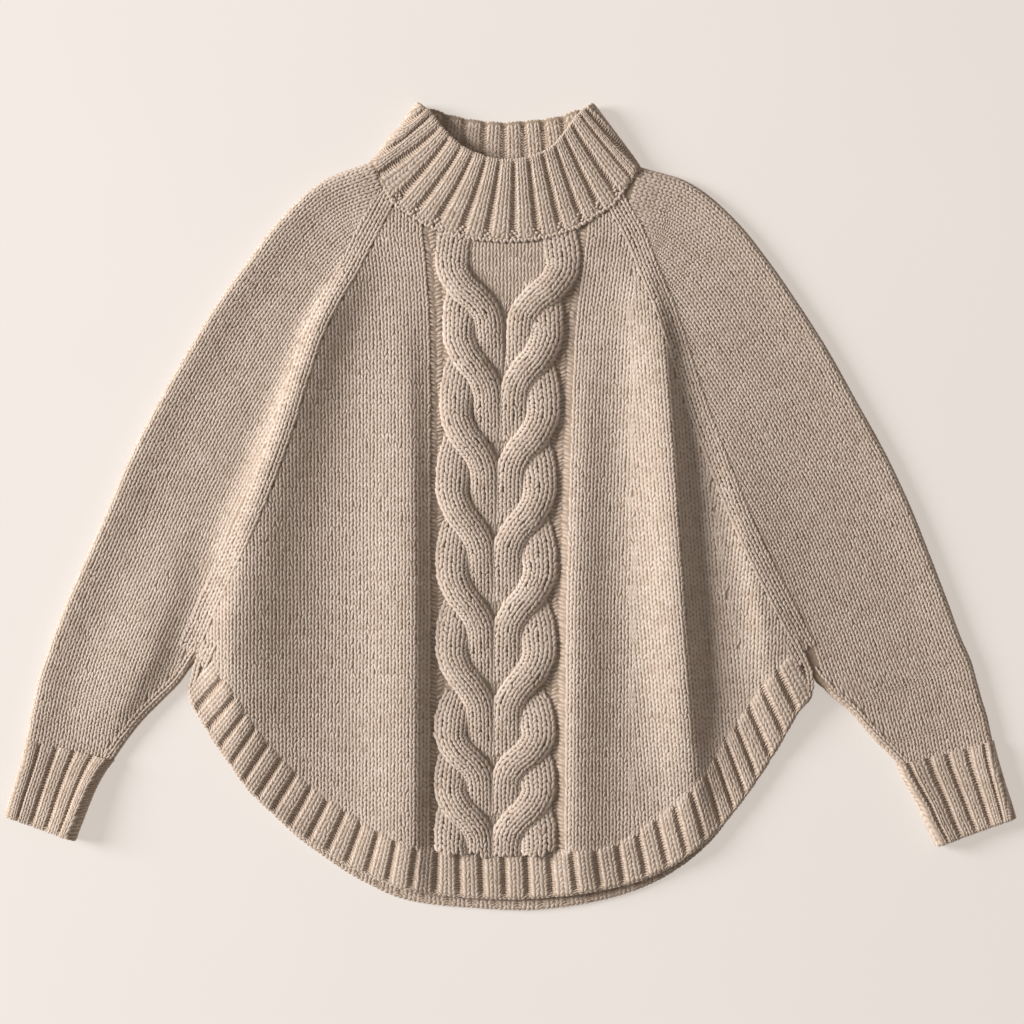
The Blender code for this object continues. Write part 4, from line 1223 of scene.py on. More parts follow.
@dataclass(frozen=True)
class HeatherWool:
    """Carded beige heather wool, spun soft in one thick ply.

    Pale and dark fibres are blended before spinning, so the tone drifts along
    the yarn; loose fibres give it a matte bloom and hide any gloss.
    """

    pale: str = "D8CABE"
    middle: str = "C7B7A9"
    dark: str = "AD9A88"
    # Painted shade: the colour of the strands at their feet, where shade falls between them.
    painted_crevice_shade: str = "BFAC9C"
    bloom: str = "E9DCCB"
    roughness: float = 0.92
    fibre_mm: float = 0.45     # coarser than real 0.03 mm fibres, so that they show

    def build(self) -> Material:
        """The strands' material.

        Returns:
            A material that reads the tone and painted shade of the strands and
            their yarn map, whose unit is one millimetre.
        """
        material, tree, shader = new_material("heather_wool_strand")
        tone = node(tree, "Attribute", attribute_name="tone")
        shade = node(tree, "Attribute", attribute_name="shade")
        uv = node(tree, "UVMap", uv_map="yarn")
        # Fibres run along the strand with a slight twist.
        fibres = node(tree, "Mapping", {
            "Vector": uv.outputs["UV"], "Rotation": (0.0, 0.0, math.radians(14.0)),
            "Scale": (1.0 / self.fibre_mm, 0.22 / self.fibre_mm, 1.0),
        })
        hair = node(tree, "TexNoise", {
            "Vector": fibres.outputs["Vector"], "Scale": 1.0, "Detail": 3.0,
            "Roughness": 0.65,
        })
        place = node(tree, "TexCoord")
        clouds = node(tree, "TexNoise", {
            "Vector": place.outputs["Object"], "Scale": 34.0, "Detail": 2.0,
        })
        blend = maths(tree, "MULTIPLY_ADD", tone.outputs["Fac"], 0.12, 0.12)
        blend = maths(tree, "MULTIPLY_ADD", hair.outputs["Fac"], 0.7, blend)
        blend = maths(tree, "MULTIPLY_ADD", clouds.outputs["Fac"], 0.25, blend)
        ramp = ramp_between(tree, blend, (0.32, self.dark), (0.84, self.pale))
        ramp.color_ramp.elements.new(0.56).color = linear(self.middle)
        # Painted shade: strands darken toward their feet by their shade value, to a darker
        # colour where shade falls between strands.
        painted_shade_mix = node(tree, "MapRange", {
            "Value": shade.outputs["Fac"], "From Min": 0.1, "From Max": 0.85,
            "To Min": 0.0, "To Max": 1.0}, interpolation_type="SMOOTHSTEP")
        colour = node(tree, "Mix", {
            "Factor": painted_shade_mix.outputs["Result"], 6: linear(self.painted_crevice_shade),
            7: ramp.outputs["Color"]}, data_type="RGBA")
        bump = node(tree, "Bump", {
            "Height": hair.outputs["Fac"], "Strength": 0.35, "Distance": 0.0004})
        tree.links.new(colour.outputs[2], shader.inputs["Base Color"])
        tree.links.new(bump.outputs["Normal"], shader.inputs["Normal"])
        set_inputs(shader, Roughness=self.roughness, Specular_IOR_Level=0.15,
                   Sheen_Weight=0.18, Sheen_Roughness=0.6, Sheen_Tint=linear(self.bloom))
        return material


@dataclass(frozen=True)
class WoolCore:
    """The inside of the cloth, seen only as shadowed wool between strands."""

    # Painted shade: both colours are darker than the strands' wool, for wool in shadow.
    painted_shade_deep: str = "9B8877"
    light: str = "AD9A86"

    def build(self) -> Material:
        """A matte mottled brown, painted shade: darker than the strands, the colour of wool in
        shadow.
        """
        material, tree, shader = new_material("wool_core_painted_shade")
        place = node(tree, "TexCoord")
        mottle = node(tree, "TexNoise", {
            "Vector": place.outputs["Object"], "Scale": 420.0, "Detail": 2.0})
        ramp = ramp_between(tree, mottle.outputs["Fac"], (0.35, self.painted_shade_deep), (0.65, self.light))
        tree.links.new(ramp.outputs["Color"], shader.inputs["Base Color"])
        set_inputs(shader, Roughness=0.95, Specular_IOR_Level=0.1)
        return material


@dataclass(frozen=True)
class KnittedBack:
    """Knitted wool of the sides that rest on the board or face inward.

    The reverse of stocking stitch: rows of small arches, one to each wale and
    course, drawn in bump and in colour, with painted shade in the hollows.
    """

    pale: str = "C9B6A3"
    dark: str = "6E5A49"

    def build(self) -> Material:
        """A material on the knit map, whose unit is one wale and one course."""
        material, tree, shader = new_material("heather_wool_reverse")
        uv = node(tree, "UVMap", uv_map="knit")
        split = node(tree, "SeparateXYZ", {"Vector": uv.outputs["UV"]})
        # Arches: the course is bent by a cosine of the wale, then repeated.
        bend = maths(tree, "COSINE", maths(tree, "MULTIPLY", split.outputs["X"], math.tau))
        course = maths(tree, "MULTIPLY_ADD", bend, 0.22, split.outputs["Y"])
        arch = maths(tree, "SINE", maths(tree, "MULTIPLY", course, math.tau))
        height = node(tree, "MapRange", {
            "Value": arch, "From Min": -1.0, "From Max": 1.0, "To Min": 0.0, "To Max": 1.0})
        place = node(tree, "TexCoord")
        hair = node(tree, "TexNoise", {
            "Vector": place.outputs["Object"], "Scale": 900.0, "Detail": 3.0})
        both = maths(tree, "MULTIPLY_ADD", hair.outputs["Fac"], 0.35, height.outputs["Result"])
        # Painted shade: the lower the arch, the darker the colour.
        ramp = ramp_between(tree, both, (0.25, self.dark), (0.95, self.pale))
        bump = node(tree, "Bump", {"Height": both, "Strength": 0.9, "Distance": 0.0012})
        tree.links.new(ramp.outputs["Color"], shader.inputs["Base Color"])
        tree.links.new(bump.outputs["Normal"], shader.inputs["Normal"])
        set_inputs(shader, Roughness=0.93, Specular_IOR_Level=0.12, Sheen_Weight=0.15)
        return material


@dataclass(frozen=True)
class CreamPaper:
    """The laying-out surface: matte cream paper that glows with painted light.

    This painted light makes about half of its brightness, so that shadows on
    it stay faint; it fades a little from left to right, as the window's light does.
    """

    light: str = "9F9E9D"
    shade: str = "9C9B9A"
    # Painted light: the paper glows by itself, which thins the shadows on it.
    painted_glow: str = "FFF4EA"
    painted_glow_left: float = 0.548
    painted_glow_right: float = 0.515

    def build(self) -> Material:
        """A matte material that glows with painted light, on Object coordinates."""
        material, tree, shader = new_material("cream_paper")
        place = node(tree, "TexCoord")
        mottle = node(tree, "TexNoise", {
            "Vector": place.outputs["Object"], "Scale": 2.5, "Detail": 3.0})
        ramp = ramp_between(tree, mottle.outputs["Fac"], (0.3, self.shade), (0.7, self.light))
        split = node(tree, "SeparateXYZ", {"Vector": place.outputs["Object"]})
        # Painted light: the paper's glowing fades from left to right, as the window's light
        # does.
        painted_glow_fade = node(tree, "MapRange", {
            "Value": split.outputs["X"], "From Min": -0.5, "From Max": 0.5,
            "To Min": self.painted_glow_left, "To Max": self.painted_glow_right})
        tree.links.new(ramp.outputs["Color"], shader.inputs["Base Color"])
        tree.links.new(painted_glow_fade.outputs["Result"], shader.inputs["Emission Strength"])
        set_inputs(shader, Emission_Color=linear(self.painted_glow), Roughness=0.9,
                   Specular_IOR_Level=0.1)
        return material


@dataclass
class Wool:
    """The three finishes that the knitted pieces share."""

    strand: Material = field(default_factory=lambda: HeatherWool().build())
    core: Material = field(default_factory=lambda: WoolCore().build())
    reverse: Material = field(default_factory=lambda: KnittedBack().build())


def declare(cloth: Object, on_it: list[Object], node_name: str) -> None:
    """Declares one piece of cloth and its stitches to the frame.

    Args:
        cloth: The piece's wall, which replaces its solid.
        on_it: Its stitches.
        node_name: The solid that it stands for.
    """
    for thing in (cloth, *on_it):
        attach(thing, "root")
    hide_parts(node_name)


# ---- lines that are shared
@dataclass
class Pattern:
    """The seams and edges that neighbouring pieces share."""

    neck: Line = field(default_factory=lambda: Line(NECK_FRONT))
    rib_top: Line = field(default_factory=lambda: Line(RIB_TOP))
    raglan_left: Line = field(default_factory=lambda: Line(
        [row[:2] for row in SLEEVE_LEFT[:RAGLAN_END + 1]]))
    raglan_right: Line = field(default_factory=lambda: Line(
        [row[:2] for row in SLEEVE_RIGHT[:RAGLAN_END + 1]]))

    def front_bounds(self, left: float, right: float, top: float = 1.5,
                     low: float = -5.0) -> list[Bound]:
        """Bounds of the front panel, with a margin at each of its edges."""
        return [
            Bound(self.neck, Edge.RIGHT_OF, top),
            Bound(self.rib_top, Edge.LEFT_OF, low),
            Bound(self.raglan_left, Edge.LEFT_OF, left),
            Bound(self.raglan_right, Edge.RIGHT_OF, right),
        ]


def stitch_grid(wales: Array, courses: Array) -> Pair:
    """Every pair of a wale and a course, as two flat arrays."""
    p, q = np.meshgrid(wales, courses, indexing="ij")
    return p.ravel(), q.ravel()


def kept(lay: Lay, wale: Array, course: Array, bounds: list[Bound]) -> Array:
    """True for each stitch whose middle all the bounds keep."""
    x, y = lay.plan(wale, course)
    mask = np.ones(len(x), bool)
    for bound in bounds:
        mask &= bound.inside(x, y)
    return mask


# ---- the pieces
@dataclass
class FrontPanel:
    """The front body: plain knitting, the cable and its purl ground."""

    pattern: Pattern
    wool: Wool
    rows: int = 110
    columns: int = 108
    left_margin: float = -1.0
    right_margin: float = 6.0

    def plan(self) -> Array:
        """Grid of board points between the neck, the rib tops and the raglans."""
        v = even(self.rows)
        share = even(self.columns)
        top = at_x(NECK_FRONT, NECK_ENDS[0] + (NECK_ENDS[1] - NECK_ENDS[0]) * share)
        low = at_x(RIB_TOP, RIB_ENDS[0] + (RIB_ENDS[1] - RIB_ENDS[0]) * share)
        left = seam_lines(Side.LEFT, v * RAGLAN_END)[0]
        right = seam_lines(Side.RIGHT, v * RAGLAN_END)[0]
        return between(top, low, left, right)

    def cloth(self) -> Object:
        """The core wall, under the strands, with the cable's relief."""
        plan = self.plan()
        x, y = plan[..., 0], plan[..., 1]
        plain = front_top(x, y)
        outer = upright(np.dstack((plan, plain - SINK + core_relief(x, y))))
        inner = upright(np.dstack((plan, plain - CLOTH)))
        return ClothWall("front_cloth", outer, inner).build(self.wool.core, self.wool.reverse)

    def field(self, name: str, seed: int,
              families: list[tuple[FieldLay, Array, Keep]]) -> Object:
        """One area of plain knitting.

        Args:
            name: Name of the piece.
            seed: Starts its random numbers.
            families: For each set of wales its lay, wale numbers and which
                board points it keeps.

        Returns:
            The piece.
        """
        work = StitchWork(name, seed)
        bounds = self.pattern.front_bounds(self.left_margin, self.right_margin)
        for lay, wales, keep in families:
            p, q = stitch_grid(wales, np.arange(40, 182, dtype=float))
            mask = kept(lay, p, q, bounds)
            x, y = lay.plan(p, q)
            mask &= keep(x, y)
            work.lay(lay, KNIT, p[mask], q[mask])
        return work.build(self.wool.strand)

    def plain_left(self) -> Object:
        """Plain knitting left of the cable."""
        lay = FieldLay(FIELD_EDGES, 1)
        return self.field("front_knit_left", 11, [
            (lay, -0.5 - np.arange(36.0), lambda x, y: x > 0.0)])

    def plain_right(self) -> Object:
        """Plain knitting right of the cable, in three sets of wales."""
        beside = FieldLay(FIELD_EDGES, 2)
        ridge = FieldLay(RIDGE_GUIDE)
        side = FieldLay(SIDE_GUIDE)

        def valley(x: Array, y: Array) -> Array:
            """True right of the valley, where the side's own wales begin."""
            return x > read_x(VALLEY_GUIDE, y) + 4.0

        return self.field("front_knit_right", 12, [
            (beside, 0.5 + np.arange(18.0), lambda x, y: x < BAND_X + 1.0),
            (ridge, 0.5 + np.arange(-10.0, 14.0),
             lambda x, y: (x > BAND_X - 2.5) & ~valley(x - 1.5, y)),
            (side, 0.5 + np.arange(-8.0, 16.0), lambda x, y: valley(x + 2.0, y)),
        ])

    def cable(self) -> Object:
        """The horseshoe cable: strands of four wales, and the knitting under it."""
        work = StitchWork("front_cable", 13)
        bounds = self.pattern.front_bounds(0.0, 0.0)
        for index in range(len(CABLE_MEETS)):
            for side in Side:
                lay = StrandLay(index, side)
                p, q = stitch_grid(np.array([-1.5, -0.5, 0.5, 1.5]),
                                   np.arange(0.5, lay.courses))
                mask = kept(lay, p, q, bounds[:2])
                work.lay(lay, KNIT, p[mask], q[mask], wide=0.98)
        ground = FieldLay([(0.0, 505.0), (300.0, 504.0), (500.0, 494.0), (900.0, 492.0)],
                          lower=0.5, on_cable=True)
        p, q = stitch_grid(0.5 + np.arange(-7.0, 7.0), np.arange(47.0, 175.0))
        x, y = ground.plan(p, q)
        mask = kept(ground, p, q, bounds[:2]) & (cable_relief(x, y)[1] < 0.3)
        mask &= (np.abs(x - np.interp(y, [240, 300, 500], [505, 504, 494])) < 44.0)
        work.lay(ground, KNIT, p[mask], q[mask])
        groove = FieldLay([(y, x) for x, y in CABLE_MEETS], lower=0.2, on_cable=True)
        p, q = stitch_grid(np.array([0.0]), np.arange(61.0, 175.0))
        mask = kept(groove, p, q, bounds[:2])
        mask &= cable_relief(*groove.plan(p, q))[1] < 0.16
        work.lay(groove, KNIT, p[mask], q[mask], wide=0.7)
        return work.build(self.wool.strand)

    def purl_ground(self) -> Object:
        """The sunken purl columns on both sides of the cable."""
        work = StitchWork("front_purl_columns", 14)
        bounds = self.pattern.front_bounds(0.0, 0.0)[:2]
        for side, column in ((Side.LEFT, 1), (Side.RIGHT, 2)):
            lay = FieldLay(FIELD_EDGES, column, lower=0.9, on_cable=True)
            inward = -side.value
            for k in range(4):
                shape = PURL_DOWN if k % 2 == 0 else PURL_UP
                p, q = stitch_grid(np.array([inward * (0.45 + k)]),
                                   np.arange(47.0, 175.0, 0.8))
                x, y = lay.plan(p, q)
                mask = kept(lay, p, q, bounds) & (cable_relief(x, y)[1] < 0.3)
                # Painted shade: the sunk purl bars are drawn darker.
                work.lay(lay, shape, p[mask], q[mask], wide=1.3, long=1.2, high=1.2,
                         loose=2.0, painted_shade_deep=0.5)
        return work.build(self.wool.strand)

    def build(self) -> None:
        cloth = self.cloth()
        on_it = [self.plain_left(), self.plain_right(), self.cable(), self.purl_ground()]
        declare(cloth, on_it, "front_panel")


def between(top: Array, low: Array, left: Array, right: Array) -> Array:
    """Grid between four edge lines.

    The sum of the blend of top and low and of the blend of left and right,
    less the blend of the four corners.
    """
    rows, columns = len(left), len(top)
    v = np.linspace(0.0, 1.0, rows)[:, None, None]
    run = run_of(low)
    u = (run / run[-1])[None, :, None]
    corners = (1 - u) * (1 - v) * top[0] + u * (1 - v) * top[-1]
    corners = corners + (1 - u) * v * low[0] + u * v * low[-1]
    plan = (1 - v) * top[None] + v * low[None]
    return plan + (1 - u) * left[:, None] + u * right[:, None] - corners


@dataclass
class BackPanel:
    """The back body, which lies on the board under everything else."""

    wool: Wool
    rows: int = 60
    columns: int = 50

    def build(self) -> None:
        v = even(self.rows)
        share = even(self.columns)
        left = seam_lines(Side.LEFT, v * RAGLAN_END)[1]
        right = seam_lines(Side.RIGHT, v * RAGLAN_END)[1]
        top = at_x(NECK_BACK, left[0, 0] + (right[0, 0] - left[0, 0]) * share)
        low = at_x(RIB_TOP, RIB_ENDS[0] + (RIB_ENDS[1] - RIB_ENDS[0]) * share)
        low[:, 1] += BACK_LET_DOWN * np.sqrt(np.sin(math.pi * share))
        plan = between(top, low, left, right)
        flat = np.zeros(plan.shape[:2])
        outer = upright(np.dstack((plan, flat + CLOTH)))
        inner = upright(np.dstack((plan, flat)))
        wool = self.wool.reverse
        cloth = ClothWall("back_cloth", outer, inner).build(wool, wool)
        declare(cloth, [], "back_panel")


# ---- tubes: folded sections
def roll(corner: Array, outward: Array, low: float, high: float,
         up: bool, cells: int = 10) -> tuple[Array, Array, Array]:
    """Middle points and normals of a folded edge, from one layer to the other.

    A half circle of radius (high - low)/2 about a centre that lies this
    radius and half a cloth in from the corner.

    Args:
        corner: Outermost board point of the cloth.
        outward: Unit direction in which the fold bulges.
        low: Middle height of the lower layer.
        high: Middle height of the upper layer.
        up: True to run from the lower layer to the upper one.
        cells: Steps round the fold.

    Returns:
        Middle points, normals and the centre.
    """
    radius = (high - low) / 2.0
    centre = corner - outward * (radius + CLOTH / 2.0)
    turn = np.radians(np.linspace(-90.0, 90.0, cells + 1))
    if not up:
        turn = turn[::-1]
    c, s = np.cos(turn)[:, None], np.sin(turn)[:, None]
    middle = np.hstack((centre + outward * radius * c, low + radius + radius * s))
    return middle, np.hstack((outward * c, s)), centre


def drawn_in(line: Array, start: Array, end: Array) -> Array:
    """A line whose ends are moved to start and end, eased over EDGE_EASE."""
    run = run_of(line)
    near = np.exp(-((run / EDGE_EASE) ** 2))[:, None]
    far = np.exp(-(((run[-1] - run) / EDGE_EASE) ** 2))[:, None]
    return line + near * (start - line[0]) + far * (end - line[-1])


def back_rib(x: Array, t: Array, start: float, spacing: float) -> Array:
    """Rib number on the inside of the collar's back, which fans out to its base.

    number = (m + (x - m)/(1.13 - 0.13 t) - start)/spacing, m being BACK_MIDDLE.
    """
    return (BACK_MIDDLE + (x - BACK_MIDDLE) / (1.13 - 0.13 * t) - start) / spacing


@dataclass
class RibbedTube:
    """A ribbed tube of cloth that lies flat: collar or cuff.

    Each row is a closed section: left fold, front from left to right, right
    fold, back from right to left. The share of the width runs from 0 to 1
    over the front and on past it round the folds.
    """

    front_cells: int
    back_cells: int = 24
    fold_cells: int = 10
    fold_share: float = 0.05
    ridge: float = 3.6
    trough: float = 0.9
    inner_ridge: float = 1.7

    def shares(self) -> Array:
        """Share of the width of each column that ribs can lie on."""
        fold = np.linspace(-self.fold_share, 0.0, self.fold_cells + 1)[:-1]
        front = even(self.front_cells)
        return np.concatenate((fold, front, 1.0 - fold[::-1]))

    def section(self, front: Array, back: Array, out_left: Array,
                out_right: Array, high: Array) -> Pair:
        """Middle points and normals of one row.

        Args:
            front: Board line of the front layer, left to right.
            back: Board line of the back layer, left to right.
            out_left: Way the left fold bulges.
            out_right: Way the right fold bulges.
            high: Middle heights of the front layer.

        Returns:
            Middle points and normals, round the section.
        """
        low = CLOTH / 2.0
        left_mid, left_n, left_c = roll(front[0], out_left, low, high[0], True,
                                        self.fold_cells)
        right_mid, right_n, right_c = roll(front[-1], out_right, low, high[-1], False,
                                           self.fold_cells)
        front_mid = np.hstack((drawn_in(front, left_c, right_c), high[:, None]))
        back_line = drawn_in(back, left_c, right_c)[::-1]
        back_mid = np.hstack((back_line, np.full((len(back), 1), low)))
        up = np.tile((0.0, 0.0, 1.0), (len(front), 1))
        down = np.tile((0.0, 0.0, -1.0), (len(back) - 2, 1))
        middle = np.vstack((left_mid[:-1], front_mid, right_mid[1:], back_mid[1:-1]))
        normal = np.vstack((left_n[:-1], up, right_n[1:], down))
        return middle, normal

    def grids(self, sections: list[Pair], t: Array,
              troughs: Rows, inner_ribs: tuple[float, float]) -> Pair:
        """Outer and inner grids, with ribs raised on the outside.

        Args:
            sections: Middle points and normals of each row.
            t: Place of each row, 0 at the seam and 1 at the open end.
            troughs: Rib table.
            inner_ribs: Board x of the first trough on the inside of the back
                and the spacing of the rest; a spacing of 0 leaves it plain.

        Returns:
            Two grids in millimetres from the origin.
        """
        middle = np.array([row[0] for row in sections])
        normal = np.array([row[1] for row in sections])
        shares = np.tile(self.shares(), (len(t), 1))
        rib = rib_number(shares, t, troughs)
        outside = rib_height(rib, self.ridge,
                             trough_height(t, self.ridge, self.trough)[:, None])
        ribbed = outside.shape[1]
        low_side = np.clip(-normal[:, :ribbed, 2], 0.0, 1.0)
        outside = outside * (1.0 - low_side) + CLOTH / 2.0 * low_side
        thick = np.full(middle.shape[:2], CLOTH / 2.0)
        thick[:, :ribbed] = outside
        inside = np.full(middle.shape[:2], CLOTH / 2.0)
        start, spacing = inner_ribs
        if spacing > 0.0:
            number = back_rib(middle[:, ribbed:, 0], t[:, None], start, spacing)
            inside[:, ribbed:] = rib_height(number, self.inner_ridge + 2.0, 1.4)
        outer = middle + normal * thick[..., None]
        inner = middle - normal * inside[..., None]
        outer[..., 2] = np.maximum(outer[..., 2], 0.0)
        return upright(outer), upright(inner)


def rib_stitches(work: StitchWork, lay: GridLay, ribs: Array, courses: Array,
                 wide: float = 0.37) -> None:
    """Lays two knit wales on each rib and a purl column in each trough.

    Args:
        work: The piece.
        lay: Its ribbed surface.
        ribs: Number of each rib's left trough.
        courses: Courses to work.
        wide: Width of a wale in ribs.
    """
    for part in (0.32, 0.68):
        p, q = lay.covered(*stitch_grid(ribs + part, courses))
        work.lay(lay, KNIT, p, q, wide=wide, loose=0.8)
    for part, shape in ((-0.07, PURL_UP), (0.07, PURL_DOWN)):
        p, q = lay.covered(*stitch_grid(ribs + part, np.arange(courses[0], courses[-1], 0.55)))
        # Painted shade: the purl bars in the troughs are drawn darker.
        work.lay(lay, shape, p, q, wide=0.24, long=0.6, high=0.7, loose=2.0, painted_shade_deep=0.5)


def bind_off(work: StitchWork, lay: GridLay, ribs: Array, course: float,
             per_rib: int = 5) -> None:
    """A chain of short bars along an open edge.

    Args:
        work: The piece.
        lay: Its ribbed surface.
        ribs: Numbers of the first and last rib.
        course: Where the chain lies.
        per_rib: Bars to each rib.
    """
    p = np.arange(ribs[0], ribs[-1] + 1.0, 1.0 / per_rib)
    p, q = lay.covered(p, np.full(len(p), course))
    work.lay(lay, PURL, p, q, wide=1.45 / per_rib, long=0.95, high=0.85, loose=1.2)


@dataclass
class Collar:
    """The ribbed funnel collar, from the neck seam up to its open rim."""

    wool: Wool
    pattern: Pattern
    rows: int = 24
    rise: float = 6.0
    evenness: float = 0.45
    span: float = 316.0
    taper: float = 0.3

    def build(self) -> None:
        tube = RibbedTube(front_cells=170, back_cells=60)
        share_front = even(tube.front_cells)
        share_back = even(tube.back_cells)
        base_front, base_back = along(NECK_FRONT, share_front), along(NECK_BACK, share_back)
        rim_front, rim_back = along(RIM_FRONT, share_front), along(RIM_BACK, share_back)
        base_out = unit(np.array([
            np.subtract(SLEEVE_LEFT[0][2:], SLEEVE_LEFT[0][:2]),
            np.subtract(SLEEVE_RIGHT[0][2:], SLEEVE_RIGHT[0][:2]),
        ]))
        lean = rim_front[[0, -1]] - base_front[[0, -1]]
        rim_out = unit(np.stack((-lean[:, 1], lean[:, 0]), axis=1) * np.array([[-1.0], [1.0]]))
        t_rows = even(self.rows) * OPEN_END
        sections = []
        for t in t_rows:
            out = unit((1.0 - t) * base_out + t * rim_out)
            from_edge = np.minimum(share_front, 1.0 - share_front) * self.span
            from_edge = from_edge * (1.0 - self.taper * t)
            high = front_top(base_front[:, 0], base_front[:, 1]) - CLOTH / 2.0
            arch = self.evenness + (1.0 - self.evenness) * np.sin(math.pi * share_front)
            high = high + edge_puff(from_edge) + self.rise * t * arch
            sections.append(tube.section((1.0 - t) * base_front + t * rim_front,
                                         (1.0 - t) * base_back + t * rim_back,
                                         out[0], out[1], high))
        outer, inner = tube.grids(sections, t_rows, COLLAR_TROUGHS, INSIDE_RIBS)
        outer, inner = rolled_edge(outer, inner)
        cloth = ClothWall("collar_cloth", outer, inner, wrap=True).build(
            self.wool.core, self.wool.core)
        ribs_end = len(tube.shares())
        over = np.concatenate((outer, inner[::-1][:12]))
        lay = GridLay(over[:, :ribs_end], tube.shares(), COLLAR_TROUGHS, self.rows, hand=-1.0)
        work = StitchWork("collar_stitches", 21)
        last = lay.course_of(self.rows + 11.0)
        rib_stitches(work, lay, np.arange(-3.0, 14.0), np.arange(0.9, last))
        bind_off(work, lay, np.array([-2.0, 12.0]), lay.course_of(self.rows + 3.0))
        self.inside(work, inner[:, ribs_end - 1:])
        self.neck_chain(work)
        declare(cloth, [work.build(self.wool.strand)], "collar")

    def inside(self, work: StitchWork, grid: Array) -> None:
        """Ribs on the inside of the back, seen through the neck."""
        columns = np.arange(grid.shape[1], dtype=float)
        flipped = grid[:, ::-1]
        numbers = np.arange(-2.0, 9.0)
        ends = []
        for row, t in ((self.rows, 1.0), (0, 0.0)):
            here = back_rib(flipped[row, :, 0] + BOARD_CENTRE[0], t, *INSIDE_RIBS)
            ends.append(np.interp(numbers, here, columns))
        table = [tuple(row) for row in np.stack((numbers, *ends), axis=1)]
        lay = GridLay(flipped, columns, table, self.rows, hand=-1.0)
        first, last = lay.course_of(self.rows * 0.12), lay.course_of(self.rows + 2.0)
        rib_stitches(work, lay, np.arange(-1.0, 9.0), np.arange(first, last))
        bind_off(work, lay, np.array([-1.0, 8.0]), lay.course_of(self.rows + 4.0))

    def neck_chain(self, work: StitchWork) -> None:
        """The picked-up edge: two rows of bumps and a scalloped chain at the neck."""
        first = 5.0 / COURSE
        last = (self.pattern.neck.length - 5.0) / COURSE
        bumps = SeamLay(self.pattern.neck, WALE, 1.0)
        for row, shift in ((-1.25, 0.0), (-0.82, 0.7), (-0.4, 0.2)):
            q = np.arange(first, last, 1.15) + shift
            # Painted shade: the bumps are drawn a little darker.
            work.lay(bumps, BUMP, np.full(len(q), row), q, loose=2.2, painted_shade_deep=0.8)
        chain = SeamLay(self.pattern.neck, WALE, 1.4)
        q = np.arange(first, last, 1.43)
        for shape, shift in ((CHAIN_IN, 0.0), (CHAIN_OUT, 0.72)):
            work.lay(chain, shape, np.full(len(q), 0.05), q + shift, loose=1.3)


@dataclass
class Cuff:
    """A ribbed cuff, a little fuller at its open end."""

    wool: Wool
    side: Side
    rows: int = 22
    rise: float = 2.6
    fullness: float = 0.7
    tilt: float = 5.0

    def build(self) -> None:
        left = self.side is Side.LEFT
        table, troughs = CUFFS[self.side], CUFF_TROUGHS[self.side]
        name = f"cuff_{self.side.name.lower()}"
        tube = RibbedTube(front_cells=64, back_cells=16, fold_share=0.15)
        share_front = even(tube.front_cells)[:, None]
        share_back = even(tube.back_cells)[:, None]
        t_rows = even(self.rows) * OPEN_END
        sections = []
        for t, row in zip(t_rows, at_rows(table, t_rows * (len(table) - 1.0))):
            start, end = (row[2:], row[:2]) if left else (row[:2], row[2:])
            across = unit(end - start)
            width = float(np.linalg.norm(end - start))
            from_edge = np.minimum(share_front, 1.0 - share_front)[:, 0] * width
            high = CLOTH + GAP + CLOTH / 2.0 + edge_puff(from_edge)
            high = high + self.rise * t ** self.fullness
            if left:
                high = high + self.tilt * share_front[:, 0] * t
            sections.append(tube.section(start + (end - start) * share_front,
                                         start + (end - start) * share_back,
                                         -across, across, high))
        outer, inner = tube.grids(sections, t_rows, troughs, (0.0, 0.0))
        outer, inner = rolled_edge(outer, inner)
        cloth = ClothWall(f"{name}_cloth", outer, inner, wrap=True).build(
            self.wool.core, self.wool.core)
        ribs_end = len(tube.shares())
        over = np.concatenate((outer, inner[::-1][:12]))
        lay = GridLay(over[:, :ribs_end], tube.shares(), troughs, self.rows)
        work = StitchWork(f"{name}_stitches", 31 if left else 32)
        last = lay.course_of(self.rows + 11.0)
        rib_stitches(work, lay, np.arange(-1.0, 5.0), np.arange(0.1, last))
        bind_off(work, lay, np.array([-1.0, 4.0]), lay.course_of(self.rows + 3.0))
        declare(cloth, [work.build(self.wool.strand)], name)


